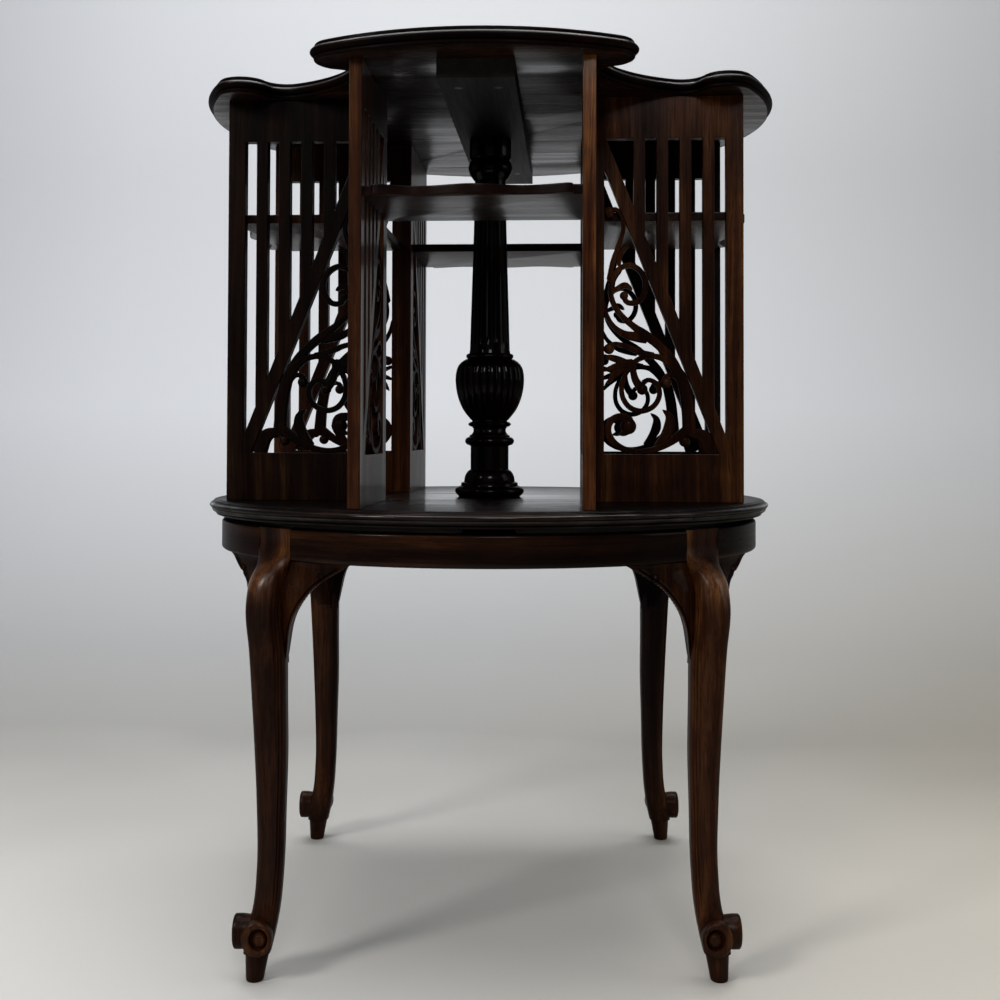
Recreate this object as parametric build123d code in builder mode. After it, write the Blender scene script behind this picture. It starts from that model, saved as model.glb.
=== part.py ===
from build123d import *
from math import cos, hypot, radians, sin, sqrt, tan
import os

os.makedirs("parts", exist_ok=True)

# Revolving bookcase, in millimetres.
# The origin is on the floor under the spindle, +Z is up and the front bay faces -Y.
# The four bays of the bookcase lie along the axes. The stand is shown turned by stand_turn,
# as the bookcase was last left standing on it.

# Stand
stand_turn = 3.5
stand_height = 417.0
apron_radius = 287.0
apron_wall = 22.0
apron_height = 30.0
apron_round = 2.5
leg_block = 36.0
leg_offset = apron_radius / sqrt(2)
peg_height = 26.0
peg_top_radius = 11.2
peg_bottom_radius = 8.2
peg_bottom_shift = 12.5
knee_swell = 35.0
knee_radius = apron_radius + knee_swell
knee_rise = 42.0
knee_blend = 8.0
toe_disc_radius = 16.0
toe_disc_face = 33.0
toe_disc_shift = 6.2
toe_height = 43.5
toe_recess_radius = 10.0
toe_recess_depth = 3.0
toe_button_radius = 6.2
bracket_wall = 13.5
bracket_drop = 86.0
bracket_setback = 1.0
bracket_seat = 2.0

# Cross bearers and pivot
bearer_width = 52.0
bearer_thickness = 18.0
bearer_drop = 5.0
running_clearance = 0.05
spindle_radius = 7.0
spindle_length = 146.0
flange_radius = 42.0
flange_thickness = 4.0
washer_radius = 24.0
washer_thickness = 1.5
socket_radius = 46.0
hub_wall = 7.0
bush_length = 25.0

# Bookcase base
rim_gap = 5.0
plateau_overhang = 13.0
plateau_radius = apron_radius + plateau_overhang
plateau_thickness = 16.0

# Bays and pierced panels
bay_half_width = 100.3
panel_thickness = 12.0
panel_setback = 37.1
panel_end = plateau_radius - panel_setback
panel_height = 411.0
inner_stile = 22.6
outer_stile = 17.6
bottom_rail = 48.6
top_rail = 42.6
slat_count = 4
slat_width = 11.6
slat_gap = 11.6
brace_width = 13.4
fret_recess = 1.5

# Shelves
shelf_underside = 285.5
shelf_thickness = 9.0
shelf_back_gap = 11.7
shelf_back = bay_half_width + shelf_back_gap
shelf_groove = 3.0
shelf_setback = 3.9
shelf_end = panel_end - shelf_setback
shelf_nosing = 8.0
shelf_step = 8.5
shelf_wave = 11.0

# Turned column
column_bore = 10.0
tenon_radius = 15.0
base_height = 28.0
base_radius = 37.8
vase_radius = 37.7
shaft_foot_radius = 21.9
shaft_head_radius = 17.0
drum_radius = 20.8
cap_radius = 23.0
vase_foot = 57.0
vase_height = 64.0
vase_collar = 9.0
cap_height = 46.0
bore_headroom = 3.0

# Top and its batten
top_thickness = 17.0
top_overhang = 5.5
lobe_shift = 19.5
lobe_reach = plateau_radius + top_overhang
lobe_radius = lobe_reach - lobe_shift
shoulder_radius = 29.5
cove_end_radius = 17.0
cove_radius = 129.0
cove_cut = 92.5
cove_depth = lobe_reach - cove_cut
cove_sweep = 23.5
top_inset = 4.5
top_round = 3.2
batten_setback = 50.5
batten_length = 2 * (lobe_reach - batten_setback)
batten_width = 72.0
batten_thickness = 18.0
batten_shift = 2.5

# Fastenings
screw_radius = 2.0
screw_head_radius = 4.0
screw_angle = 82.0
dowel_radius = 3.0
dowel_length = 20.0
fit_clearance = 0.05

# Levels worked out from the sizes above
apron_bottom = stand_height - apron_height
bearer_top = stand_height - bearer_drop
plateau_bottom = stand_height + rim_gap
plateau_top = plateau_bottom + plateau_thickness
flange_top = bearer_top + flange_thickness
washer_top = flange_top + washer_thickness
socket_bottom = washer_top + running_clearance
spindle_top = flange_top + spindle_length
top_underside = plateau_top + panel_height
batten_bottom = top_underside - batten_thickness
shelf_level = plateau_top + shelf_underside
hub_radius = spindle_radius + running_clearance + hub_wall
head_height = (screw_head_radius - screw_radius) / tan(radians(screw_angle / 2))
row_names = ["front", "right", "back", "left"]
row_angles = [-90, 0, 90, 180]


def save(piece, name):
    """Label a finished piece and write it as its own file."""
    piece.part.label = name
    export_step(piece.part, f"parts/{name}.step")


def stand_frame(turn):
    """Frame of one side of the stand, on the floor, with x along that side."""
    angle = radians(stand_turn + turn)
    return Plane(origin=(0, 0, 0), x_dir=(cos(angle), sin(angle), 0), z_dir=(0, 0, 1))


def row_frame(angle):
    """Frame of one bay of the bookcase, on the floor, with x pointing out of the bay."""
    turn = radians(angle)
    return Plane(origin=(0, 0, 0), x_dir=(round(cos(turn)), round(sin(turn)), 0), z_dir=(0, 0, 1))


def smooth_band(points, stations=9):
    """Outline of a tapering band: points are (across, up, half width) along its middle line."""
    middle = Spline(*[(across, up) for across, up, half in points], mode=Mode.PRIVATE)
    lengths = [0.0]
    for first, second in zip(points, points[1:]):
        lengths.append(lengths[-1] + hypot(second[0] - first[0], second[1] - first[1]))
    left = []
    right = []
    count = max(stations, 2 * len(points))
    for step in range(count):
        share = step / (count - 1)
        span = min(range(1, len(points)), key=lambda i: (lengths[i] < share * lengths[-1], i))
        inside = (share * lengths[-1] - lengths[span - 1]) / (lengths[span] - lengths[span - 1])
        half = points[span - 1][2] + (points[span][2] - points[span - 1][2]) * inside
        spot = middle @ share
        along = middle % share
        left.append((spot.X - along.Y * half, spot.Y + along.X * half))
        right.append((spot.X + along.Y * half, spot.Y - along.X * half))
    return left, right


# Cabriole legs: each line is (share of the height above the peg, shift outwards, width)
leg_curve = [
    (0.000, 10.5, 25.0),
    (0.050, 7.6, 27.0),
    (0.105, 3.4, 25.0),
    (0.205, 0.4, 24.6),
    (0.370, -0.2, 26.8),
    (0.510, 0.3, 30.0),
    (0.640, 1.8, 32.0),
    (0.770, 3.4, 34.4),
    (0.885, 6.2, 35.6),
    (1.000, 0.0, leg_block),
]
leg_names = ["back_right", "back_left", "front_left", "front_right"]
legs = []
for number, place in enumerate(leg_names):
    frame = stand_frame(90 * number)
    with BuildPart() as leg:
        for share, shift, width in leg_curve:
            height = peg_height + share * (apron_bottom - peg_height)
            rounding = 1.0 if share == 1.0 else 0.34 * width
            with BuildSketch(frame.offset(height)):
                with Locations((leg_offset + shift, leg_offset + shift)):
                    RectangleRounded(width, width, rounding)
        loft()
        with BuildSketch(frame.offset(apron_bottom)):
            with Locations((leg_offset, leg_offset)):
                Rectangle(leg_block, leg_block)
        extrude(amount=apron_height)
        # The knee swells out of the apron's face in a slow curve
        with BuildSketch(Plane.XZ):
            with BuildLine():
                Line((0, 0), (knee_radius, 0))
                Line((knee_radius, 0), (knee_radius, apron_bottom - knee_rise))
                Spline(
                    (knee_radius, apron_bottom - knee_rise),
                    (apron_radius, apron_bottom + knee_blend),
                    tangents=((0, 1), (0, 1)),
                )
                Line((apron_radius, apron_bottom + knee_blend), (apron_radius, stand_height))
                Line((apron_radius, stand_height), (0, stand_height))
                Line((0, stand_height), (0, 0))
            make_face()
        revolve(axis=Axis.Z, mode=Mode.INTERSECT)
        # Round peg under the toe
        with BuildSketch(frame):
            with Locations((leg_offset + peg_bottom_shift, leg_offset + peg_bottom_shift)):
                Circle(peg_bottom_radius)
        with BuildSketch(frame.offset(peg_height)):
            with Locations((leg_offset + leg_curve[0][1], leg_offset + leg_curve[0][1])):
                Circle(peg_top_radius)
        loft()
        # Scrolled toe: a disc with a button on each of the two outer faces
        toe_spot = leg_offset + toe_disc_shift
        toe_centre = frame.from_local_coords(Vector(toe_spot, toe_spot, toe_height))
        toe_side = Plane(origin=toe_centre, x_dir=frame.y_dir, z_dir=frame.x_dir)
        toe_front = Plane(origin=toe_centre, x_dir=-frame.x_dir, z_dir=frame.y_dir)
        toe_reach = toe_disc_face - toe_disc_shift
        for toe_plane in (toe_side, toe_front):
            with BuildSketch(toe_plane):
                Circle(toe_disc_radius)
            extrude(amount=toe_reach)
            with BuildSketch(toe_plane.offset(toe_reach)):
                Circle(toe_recess_radius)
                Circle(toe_button_radius, mode=Mode.SUBTRACT)
            extrude(amount=-toe_recess_depth, mode=Mode.SUBTRACT)
    legs.append(leg)
    save(leg, f"leg_{place}")

# Curved apron rails, each notched round the legs at its two ends
for number, place in enumerate(["right", "back", "left", "front"]):
    frame = stand_frame(90 * number)
    with BuildPart() as rail:
        with BuildSketch(frame.offset(apron_bottom)):
            Circle(apron_radius)
            Circle(apron_radius - apron_wall, mode=Mode.SUBTRACT)
            with BuildLine():
                Polyline((0, 0), (apron_radius, -apron_radius), (apron_radius, apron_radius), close=True)
            make_face(mode=Mode.INTERSECT)
            with Locations((leg_offset, leg_offset), (leg_offset, -leg_offset)):
                Rectangle(leg_block, leg_block, mode=Mode.SUBTRACT)
        extrude(amount=apron_height)
        outer_edges = rail.edges().filter_by(GeomType.CIRCLE)
        outer_edges = outer_edges.filter_by(lambda edge: abs(edge.radius - apron_radius) < 0.01)
        fillet(outer_edges, radius=apron_round)
    save(rail, f"apron_{place}")

# Lower edge of a knee bracket: each point is (in from the leg's middle line, below the apron)
bracket_edge = [
    (78.0, 0.0),
    (63.5, 8.5),
    (48.0, 18.5),
    (38.5, 27.0),
    (29.5, 38.5),
    (23.5, 49.5),
    (19.6, 61.0),
    (17.2, 74.0),
    (15.8, bracket_drop),
]

# Carved knee brackets under the apron, one each side of every leg, sawn square to the leg's face
for number, place in enumerate(leg_names):
    for side, hand in ((1, "left"), (-1, "right")):
        frame = stand_frame(90 * number)
        inward, outward = (frame.x_dir, frame.y_dir) if side == 1 else (frame.y_dir, frame.x_dir)
        ear_plane = Plane(origin=outward * leg_offset, x_dir=inward, z_dir=inward.cross(Vector(0, 0, 1)))
        lower = apron_bottom - bracket_drop
        edge = [(leg_offset - reach, apron_bottom - drop) for reach, drop in bracket_edge]
        with BuildPart() as bracket:
            with BuildSketch(ear_plane):
                with BuildLine():
                    Spline(*edge)
                    Line(edge[-1], (leg_offset, lower))
                    Line((leg_offset, lower), (leg_offset, apron_bottom))
                    Line((leg_offset, apron_bottom), edge[0])
                make_face()
            extrude(amount=leg_offset / 2, both=True)
            with BuildSketch(Plane.XY.offset(lower)):
                Circle(apron_radius - bracket_setback)
                Circle(apron_radius - bracket_setback - bracket_wall, mode=Mode.SUBTRACT)
            extrude(amount=bracket_drop, mode=Mode.INTERSECT)
            add(legs[number].part, mode=Mode.SUBTRACT)
            # The two brackets of a leg meet behind it, a saw cut apart
            leg_frame = stand_frame(90 * number + 45)
            away = side * leg_frame.y_dir
            split(bisect_by=Plane(origin=away * bracket_seat, z_dir=away), keep=Keep.TOP)
        save(bracket, f"knee_bracket_{place}_{hand}")

# Cross bearers, halved over each other and cut to the inside of the apron
stand = stand_frame(0)
bearer_bottom = bearer_top - bearer_thickness
inner_radius = apron_radius - apron_wall
flange_screw_spots = [(sx * 0.72 * bearer_width, 0) for sx in (1, -1)]
flange_screw_spots += [(0, sy * 0.72 * bearer_width) for sy in (1, -1)]
flange_screw_depth = flange_thickness + 0.7 * bearer_thickness / 2
for name, long_side, notch_level in (
    ("bearer_long", True, bearer_top - bearer_thickness / 2),
    ("bearer_cross", False, bearer_bottom),
):
    with BuildPart() as bearer:
        with BuildSketch(stand.offset(bearer_bottom)):
            if long_side:
                Rectangle(2 * apron_radius, bearer_width)
            else:
                Rectangle(bearer_width, 2 * apron_radius)
            Circle(inner_radius, mode=Mode.INTERSECT)
        extrude(amount=bearer_thickness)
        with BuildSketch(stand.offset(notch_level)):
            Rectangle(bearer_width, bearer_width)
        extrude(amount=bearer_thickness / 2, mode=Mode.SUBTRACT)
        with BuildSketch(stand.offset(bearer_top)):
            with Locations(*flange_screw_spots):
                Circle(screw_radius + fit_clearance)
        extrude(amount=flange_thickness - flange_screw_depth, mode=Mode.SUBTRACT)
    save(bearer, name)

# Iron pivot: a round flange screwed to the bearers, with its spindle
with BuildPart() as spindle:
    with BuildSketch(stand.offset(bearer_top)):
        Circle(flange_radius)
    extrude(amount=flange_thickness)
    with BuildSketch(stand.offset(flange_top)):
        Circle(spindle_radius)
    extrude(amount=spindle_length)
    chamfer(spindle.faces().sort_by(Axis.Z)[-1].edges(), length=1.0)
    with Locations(stand.offset(flange_top)):
        with Locations(*flange_screw_spots):
            CounterSinkHole(
                screw_radius + fit_clearance,
                screw_head_radius + fit_clearance,
                counter_sink_angle=screw_angle,
            )
save(spindle, "pivot_spindle")

with BuildPart() as flange_screws:
    with BuildSketch(stand.offset(flange_top)):
        with Locations(*flange_screw_spots):
            Circle(screw_head_radius)
    extrude(amount=-head_height, taper=screw_angle / 2)
    with BuildSketch(stand.offset(flange_top - head_height)):
        with Locations(*flange_screw_spots):
            Circle(screw_radius)
    extrude(amount=head_height - flange_screw_depth)
save(flange_screws, "flange_screws")

with BuildPart() as washer:
    with BuildSketch(Plane.XY.offset(flange_top)):
        Circle(washer_radius)
        Circle(spindle_radius + running_clearance, mode=Mode.SUBTRACT)
    extrude(amount=washer_thickness)
save(washer, "thrust_washer")

# Iron socket under the plateau, whose hub turns on the spindle
socket_screw_spots = [(0.72 * socket_radius * c, 0.72 * socket_radius * s)
                      for c, s in ((1, 0), (0, 1), (-1, 0), (0, -1))]
socket_screw_depth = plateau_bottom - socket_bottom + 0.7 * plateau_thickness
with BuildPart() as socket:
    with BuildSketch(Plane.XY.offset(socket_bottom)):
        Circle(socket_radius)
    extrude(amount=plateau_bottom - socket_bottom)
    with BuildSketch(Plane.XY.offset(socket_bottom)):
        Circle(hub_radius)
    extrude(amount=plateau_top - socket_bottom)
    with BuildSketch(Plane.XY.offset(socket_bottom)):
        Circle(spindle_radius + running_clearance)
    extrude(amount=plateau_top - socket_bottom, mode=Mode.SUBTRACT)
    with Locations(Plane(origin=(0, 0, socket_bottom), x_dir=(1, 0, 0), z_dir=(0, 0, -1))):
        with Locations(*socket_screw_spots):
            CounterSinkHole(
                screw_radius + fit_clearance,
                screw_head_radius + fit_clearance,
                depth=plateau_bottom - socket_bottom,
                counter_sink_angle=screw_angle,
            )
save(socket, "pivot_socket")

with BuildPart() as socket_screws:
    with BuildSketch(Plane.XY.offset(socket_bottom)):
        with Locations(*socket_screw_spots):
            Circle(screw_head_radius)
    extrude(amount=head_height, taper=screw_angle / 2)
    with BuildSketch(Plane.XY.offset(socket_bottom + head_height)):
        with Locations(*socket_screw_spots):
            Circle(screw_radius)
    extrude(amount=socket_screw_depth - head_height)
save(socket_screws, "socket_screws")

# Screws up through the plateau into the feet of the panels
panel_screw_spots = []
dowel_spots = []
panel_middle = bay_half_width + panel_thickness / 2
screw_reaches = (bay_half_width + 2.2 * panel_thickness, panel_end - outer_stile)
panel_screw_depth = 2.2 * plateau_thickness
for angle in row_angles:
    frame = row_frame(angle)
    for side in (1, -1):
        for reach in screw_reaches:
            spot = frame.from_local_coords(Vector(reach, side * panel_middle, 0))
            panel_screw_spots.append((spot.X, spot.Y))
            dowel_spots.append((spot.X, spot.Y))

# Round plateau with a moulded edge: an ovolo, a quirk and a small bead under it
with BuildPart() as plateau:
    ovolo = 0.5 * plateau_thickness
    quirk = 0.1 * plateau_thickness
    with BuildSketch(Plane.XZ):
        with BuildLine():
            Line((0, plateau_bottom), (0, plateau_top))
            Line((0, plateau_top), (plateau_radius - ovolo, plateau_top))
            Line((plateau_radius - ovolo, plateau_top), (plateau_radius - ovolo, plateau_top - quirk / 2))
            RadiusArc(
                (plateau_radius - ovolo, plateau_top - quirk / 2),
                (plateau_radius, plateau_top - ovolo),
                ovolo,
            )
            Line((plateau_radius, plateau_top - ovolo), (plateau_radius - quirk, plateau_top - ovolo))
            Line(
                (plateau_radius - quirk, plateau_top - ovolo),
                (plateau_radius - quirk, plateau_top - ovolo - quirk),
            )
            RadiusArc(
                (plateau_radius - quirk, plateau_top - ovolo - quirk),
                (plateau_radius - 3 * quirk, plateau_bottom),
                ovolo,
            )
            Line((plateau_radius - 3 * quirk, plateau_bottom), (0, plateau_bottom))
        make_face()
    revolve(axis=Axis.Z)
    with BuildSketch(Plane.XY.offset(plateau_bottom)):
        Circle(hub_radius + fit_clearance)
    extrude(amount=plateau_thickness, mode=Mode.SUBTRACT)
    with BuildSketch(Plane.XY.offset(plateau_bottom)):
        with Locations(*socket_screw_spots):
            Circle(screw_radius + fit_clearance)
    extrude(amount=socket_screw_depth - (plateau_bottom - socket_bottom), mode=Mode.SUBTRACT)
    with Locations(Plane(origin=(0, 0, plateau_bottom), x_dir=(1, 0, 0), z_dir=(0, 0, -1))):
        with Locations(*[(across, -along) for across, along in panel_screw_spots]):
            CounterSinkHole(
                screw_radius + fit_clearance,
                screw_head_radius + fit_clearance,
                depth=plateau_thickness,
                counter_sink_angle=screw_angle,
            )
save(plateau, "plateau")

with BuildPart() as panel_screws:
    with BuildSketch(Plane.XY.offset(plateau_bottom)):
        with Locations(*panel_screw_spots):
            Circle(screw_head_radius)
    extrude(amount=head_height, taper=screw_angle / 2)
    with BuildSketch(Plane.XY.offset(plateau_bottom + head_height)):
        with Locations(*panel_screw_spots):
            Circle(screw_radius)
    extrude(amount=panel_screw_depth - head_height)
save(panel_screws, "panel_screws")

with BuildPart() as dowels:
    with BuildSketch(Plane.XY.offset(top_underside - dowel_length / 2)):
        with Locations(*dowel_spots):
            Circle(dowel_radius)
    extrude(amount=dowel_length)
save(dowels, "top_dowels")

# Fretwork of a panel, as seen with the bay's corner on the left: across is measured from the
# axis of the bookcase and up from the foot of the panel
window_left = bay_half_width + inner_stile
window_right = panel_end - outer_stile
window_top = panel_height - top_rail
brace_slope = (window_right - window_left) / (window_top - brace_width - bottom_rail)
brace_lean = sqrt(1 + brace_slope**2)
brace_half = brace_width / 2 * brace_lean

# Each stroke is (across, up, half width) along its middle line, drawn for the sizes above
scroll_strokes = {
    "trunk": [(209, 66, 7), (207.5, 90, 6.2), (205, 110, 6), (200.5, 126.5, 5.5), (191.5, 138.5, 4.3),
              (180.5, 146, 3), (168.5, 147.5, 2.7), (157, 144, 2.7), (147, 133.5, 2.6),
              (141, 119, 2.5), (142, 105.5, 2.6), (150, 95, 2.7), (161, 92, 2.8), (173, 97, 2.7),
              (179, 109, 2.5), (176.5, 119, 2.4), (167.5, 123.5, 2.4), (161, 119.5, 3)],
    "inner_leaf": [(152.5, 142, 2.6), (152.5, 132.5, 3.2), (155.5, 122, 3.8), (161, 115, 4.6)],
    "small_curl": [(205, 112, 3), (200, 122, 2.8), (192.5, 128.5, 2.5), (185.5, 127, 2.5), (184.5, 121, 3.2)],
    "low_leaf": [(150, 138.5, 3.6), (140, 134.5, 4.2), (132.5, 128, 3.2), (126.5, 119.5, 0.8)],
    "mid_leaf": [(147, 139.5, 3.4), (137, 138, 3.4), (129.5, 135.5, 2.6), (121.5, 132.5, 1)],
    "high_leaf": [(153.5, 142.5, 2.4), (142.5, 142, 2.6), (132.5, 144.5, 2.4), (121.5, 149, 1.4)],
    "left_curl": [(175, 148.5, 2.4), (164, 150.5, 2.8), (153.5, 154, 2.8), (142.5, 158.5, 2.5),
                  (132, 159.5, 2.4), (127, 155.5, 3.2)],
    "side_leaf": [(168.5, 164.5, 4.5), (156.5, 167, 5), (143.5, 170, 3.6), (132.5, 178, 2.4),
                  (125.5, 190, 2), (122, 204, 1.6)],
    "branch": [(200, 126.5, 5), (191, 144, 4.6), (179.5, 157, 4.2), (166.5, 168, 4.4), (152, 178.5, 3.2),
               (140, 189.5, 2.8), (132, 202, 2.7), (129.5, 214, 2.6), (131.5, 226, 2.6), (138.5, 236.5, 2.6),
               (149, 240, 2.6), (159, 234.5, 2.7), (164.5, 223.5, 2.8), (163, 210.5, 3), (155, 202, 2.8),
               (145.5, 203, 2.5), (143, 209.5, 3)],
    "ring_leaf": [(130, 213, 1.6), (136, 216, 2.6), (144.5, 219.5, 3), (151.5, 215, 1.2)],
    "top_leaf": [(137.5, 239.5, 2.4), (139, 250, 2.8), (143.5, 256.5, 2), (148.5, 260.5, 0.7)],
    "top_tendril": [(127.5, 224, 2.6), (132.5, 246, 2.6), (139, 263.5, 2.4), (142.5, 278.5, 2.2),
                    (140, 291, 2.2), (134, 297, 2.2), (128.5, 294.5, 3)],
    "volute": [(211, 77, 5), (198.5, 67, 4.6), (185, 58, 3.6), (171, 52.5, 3), (156.5, 51, 2.8),
               (142, 54, 3.2), (131, 62, 3.7), (126.5, 72.5, 3.9), (130, 82, 3.6), (138.5, 86, 4),
               (147, 82.5, 5.5), (148, 76, 6.5)],
    "volute_tip": [(148, 75, 6), (143, 69.5, 3.2), (137.5, 68, 0.8)],
    "bud": [(175, 54.5, 3), (184, 66.5, 4.6), (189, 77.5, 5.4), (188.5, 87, 3.6), (182, 93.5, 0.8)],
    "foot_leaf": [(209, 68, 4), (217, 69, 5.5), (225, 64, 7.5), (229, 56, 8.5), (232, 47, 9)],
    "foot_curl": [(217, 68, 3), (211, 73, 2.6), (204, 71, 2.6), (201, 65.5, 3), (204, 61.5, 3.6)],
}
scroll_eyes = [(161.5, 114, 5.6), (185.5, 121, 5.4), (128, 155, 5.4), (128, 294, 5.4), (147.5, 76.5, 8.2),
               (204, 61.5, 5.6), (143, 209, 4.4)]
drawn_left = 122.9
drawn_bottom = 48.6
scroll_across = (window_right - window_left) / 122.4
scroll_up = (window_top - bottom_rail) / 319.8


def placed(across, up):
    """Move a point of the scrollwork drawing into the panel's window."""
    return (
        window_left + (across - drawn_left) * scroll_across,
        bottom_rail + (up - drawn_bottom) * scroll_up,
    )


# Sawn board: stiles, rails, slats and the slanting brace
with BuildSketch(mode=Mode.PRIVATE) as board:
    with Locations(((bay_half_width + panel_end) / 2, panel_height / 2)):
        Rectangle(panel_end - bay_half_width, panel_height)
    with Locations(((window_left + window_right) / 2, (bottom_rail + window_top) / 2)):
        Rectangle(window_right - window_left, window_top - bottom_rail, mode=Mode.SUBTRACT)
    for number in range(slat_count):
        slat_right = window_right - slat_gap - number * (slat_width + slat_gap)
        foot = window_top - brace_width - (slat_right - slat_width - window_left) / brace_slope
        with BuildLine():
            Polyline(
                (slat_right - slat_width, window_top + top_rail / 2),
                (slat_right - slat_width, foot),
                (slat_right, foot - slat_width / brace_slope),
                (slat_right, window_top + top_rail / 2),
                close=True,
            )
        make_face()
    with BuildLine():
        head = window_top - brace_width
        Polyline(
            (window_left, head - brace_half / brace_slope),
            (window_right - brace_half, bottom_rail),
            (window_right, bottom_rail),
            (window_right, bottom_rail + brace_half / brace_slope),
            (window_left + brace_half - brace_width * brace_slope, window_top),
            (window_left, window_top),
            close=True,
        )
    make_face()

# Scrollwork in the corner under the brace, a little thinner than the board
with BuildSketch(mode=Mode.PRIVATE) as scrolls:
    for stroke in scroll_strokes.values():
        left, right = smooth_band([(*placed(across, up), half) for across, up, half in stroke])
        with BuildLine():
            Spline(*left)
            Line(left[-1], right[-1])
            Spline(*right[::-1])
            Line(right[0], left[0])
        make_face()
    for across, up, radius in scroll_eyes:
        with Locations(placed(across, up)):
            Circle(radius)

side_names = {
    "front": {1: "right", -1: "left"},
    "right": {1: "back", -1: "front"},
    "back": {1: "left", -1: "right"},
    "left": {1: "front", -1: "back"},
}
for row, angle in zip(row_names, row_angles):
    frame = row_frame(angle)
    for side in (1, -1):
        face = bay_half_width + panel_thickness if side == 1 else -bay_half_width
        panel_plane = Plane(
            origin=frame.y_dir * face + Vector(0, 0, plateau_top),
            x_dir=frame.x_dir,
            z_dir=-frame.y_dir,
        )
        groove_start = panel_thickness - shelf_groove if side == 1 else 0
        with BuildPart() as panel:
            with BuildSketch(panel_plane):
                add(board.sketch)
            extrude(amount=panel_thickness)
            with BuildSketch(panel_plane.offset(fret_recess)):
                add(scrolls.sketch)
            extrude(amount=panel_thickness - 2 * fret_recess)
            # Mitred at the corner between two bays
            split(bisect_by=Plane(origin=(0, 0, 0), z_dir=frame.x_dir - side * frame.y_dir), keep=Keep.TOP)
            # Stopped groove for the end of the shelf
            with BuildSketch(panel_plane.offset(groove_start)):
                with Locations(((bay_half_width + shelf_end) / 2, shelf_underside + shelf_thickness / 2)):
                    Rectangle(shelf_end - bay_half_width, shelf_thickness)
            extrude(amount=shelf_groove, mode=Mode.SUBTRACT)
            with BuildSketch(frame.offset(plateau_top)):
                with Locations(*[(reach, side * panel_middle) for reach in screw_reaches]):
                    Circle(screw_radius + fit_clearance)
            extrude(amount=panel_screw_depth - plateau_thickness, mode=Mode.SUBTRACT)
            with BuildSketch(frame.offset(top_underside)):
                with Locations(*[(reach, side * panel_middle) for reach in screw_reaches]):
                    Circle(dowel_radius + fit_clearance)
            extrude(amount=-dowel_length / 2, mode=Mode.SUBTRACT)
        save(panel, f"panel_{row}_{side_names[row][side]}")

# Shelves: tongues in the panels' grooves and a serpentine front edge
shelf_half = bay_half_width + shelf_groove
nose_half = bay_half_width - shelf_step
nose = shelf_end + shelf_nosing
for row, angle in zip(row_names, row_angles):
    with BuildPart() as shelf:
        with BuildSketch(row_frame(angle).offset(shelf_level)):
            with BuildLine():
                Polyline(
                    (nose - 2, nose_half),
                    (shelf_end, nose_half),
                    (shelf_end, shelf_half),
                    (shelf_back, shelf_half),
                    (shelf_back, -shelf_half),
                    (shelf_end, -shelf_half),
                    (shelf_end, -nose_half),
                    (nose - 2, -nose_half),
                )
                Spline(
                    (nose - 2, -nose_half),
                    (nose, -0.94 * nose_half),
                    (nose - shelf_wave, -0.56 * nose_half),
                    (nose, 0),
                    (nose - shelf_wave, 0.56 * nose_half),
                    (nose, 0.94 * nose_half),
                    (nose - 2, nose_half),
                )
            make_face()
        extrude(amount=shelf_thickness)
    save(shelf, f"shelf_{row}")

# Turned base ring of the column: a torus and a cove, bored for the column's tenon
base_top = plateau_top + base_height
with BuildPart() as column_base:
    torus = 0.4 * base_height
    neck = drum_radius + 4.0
    with BuildSketch(Plane.XZ):
        with BuildLine():
            Line((tenon_radius + fit_clearance, plateau_top), (base_radius - torus / 2, plateau_top))
            ThreePointArc(
                (base_radius - torus / 2, plateau_top),
                (base_radius, plateau_top + torus / 2),
                (base_radius - torus / 2, plateau_top + torus),
            )
            Line(
                (base_radius - torus / 2, plateau_top + torus),
                (base_radius - torus / 2 - 4, plateau_top + torus + 2),
            )
            Spline(
                (base_radius - torus / 2 - 4, plateau_top + torus + 2),
                (neck + 1, plateau_top + 0.75 * base_height),
                (neck, base_top),
            )
            Line((neck, base_top), (tenon_radius + fit_clearance, base_top))
            Line((tenon_radius + fit_clearance, base_top), (tenon_radius + fit_clearance, plateau_top))
        make_face()
    revolve(axis=Axis.Z)
save(column_base, "column_base")

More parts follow.
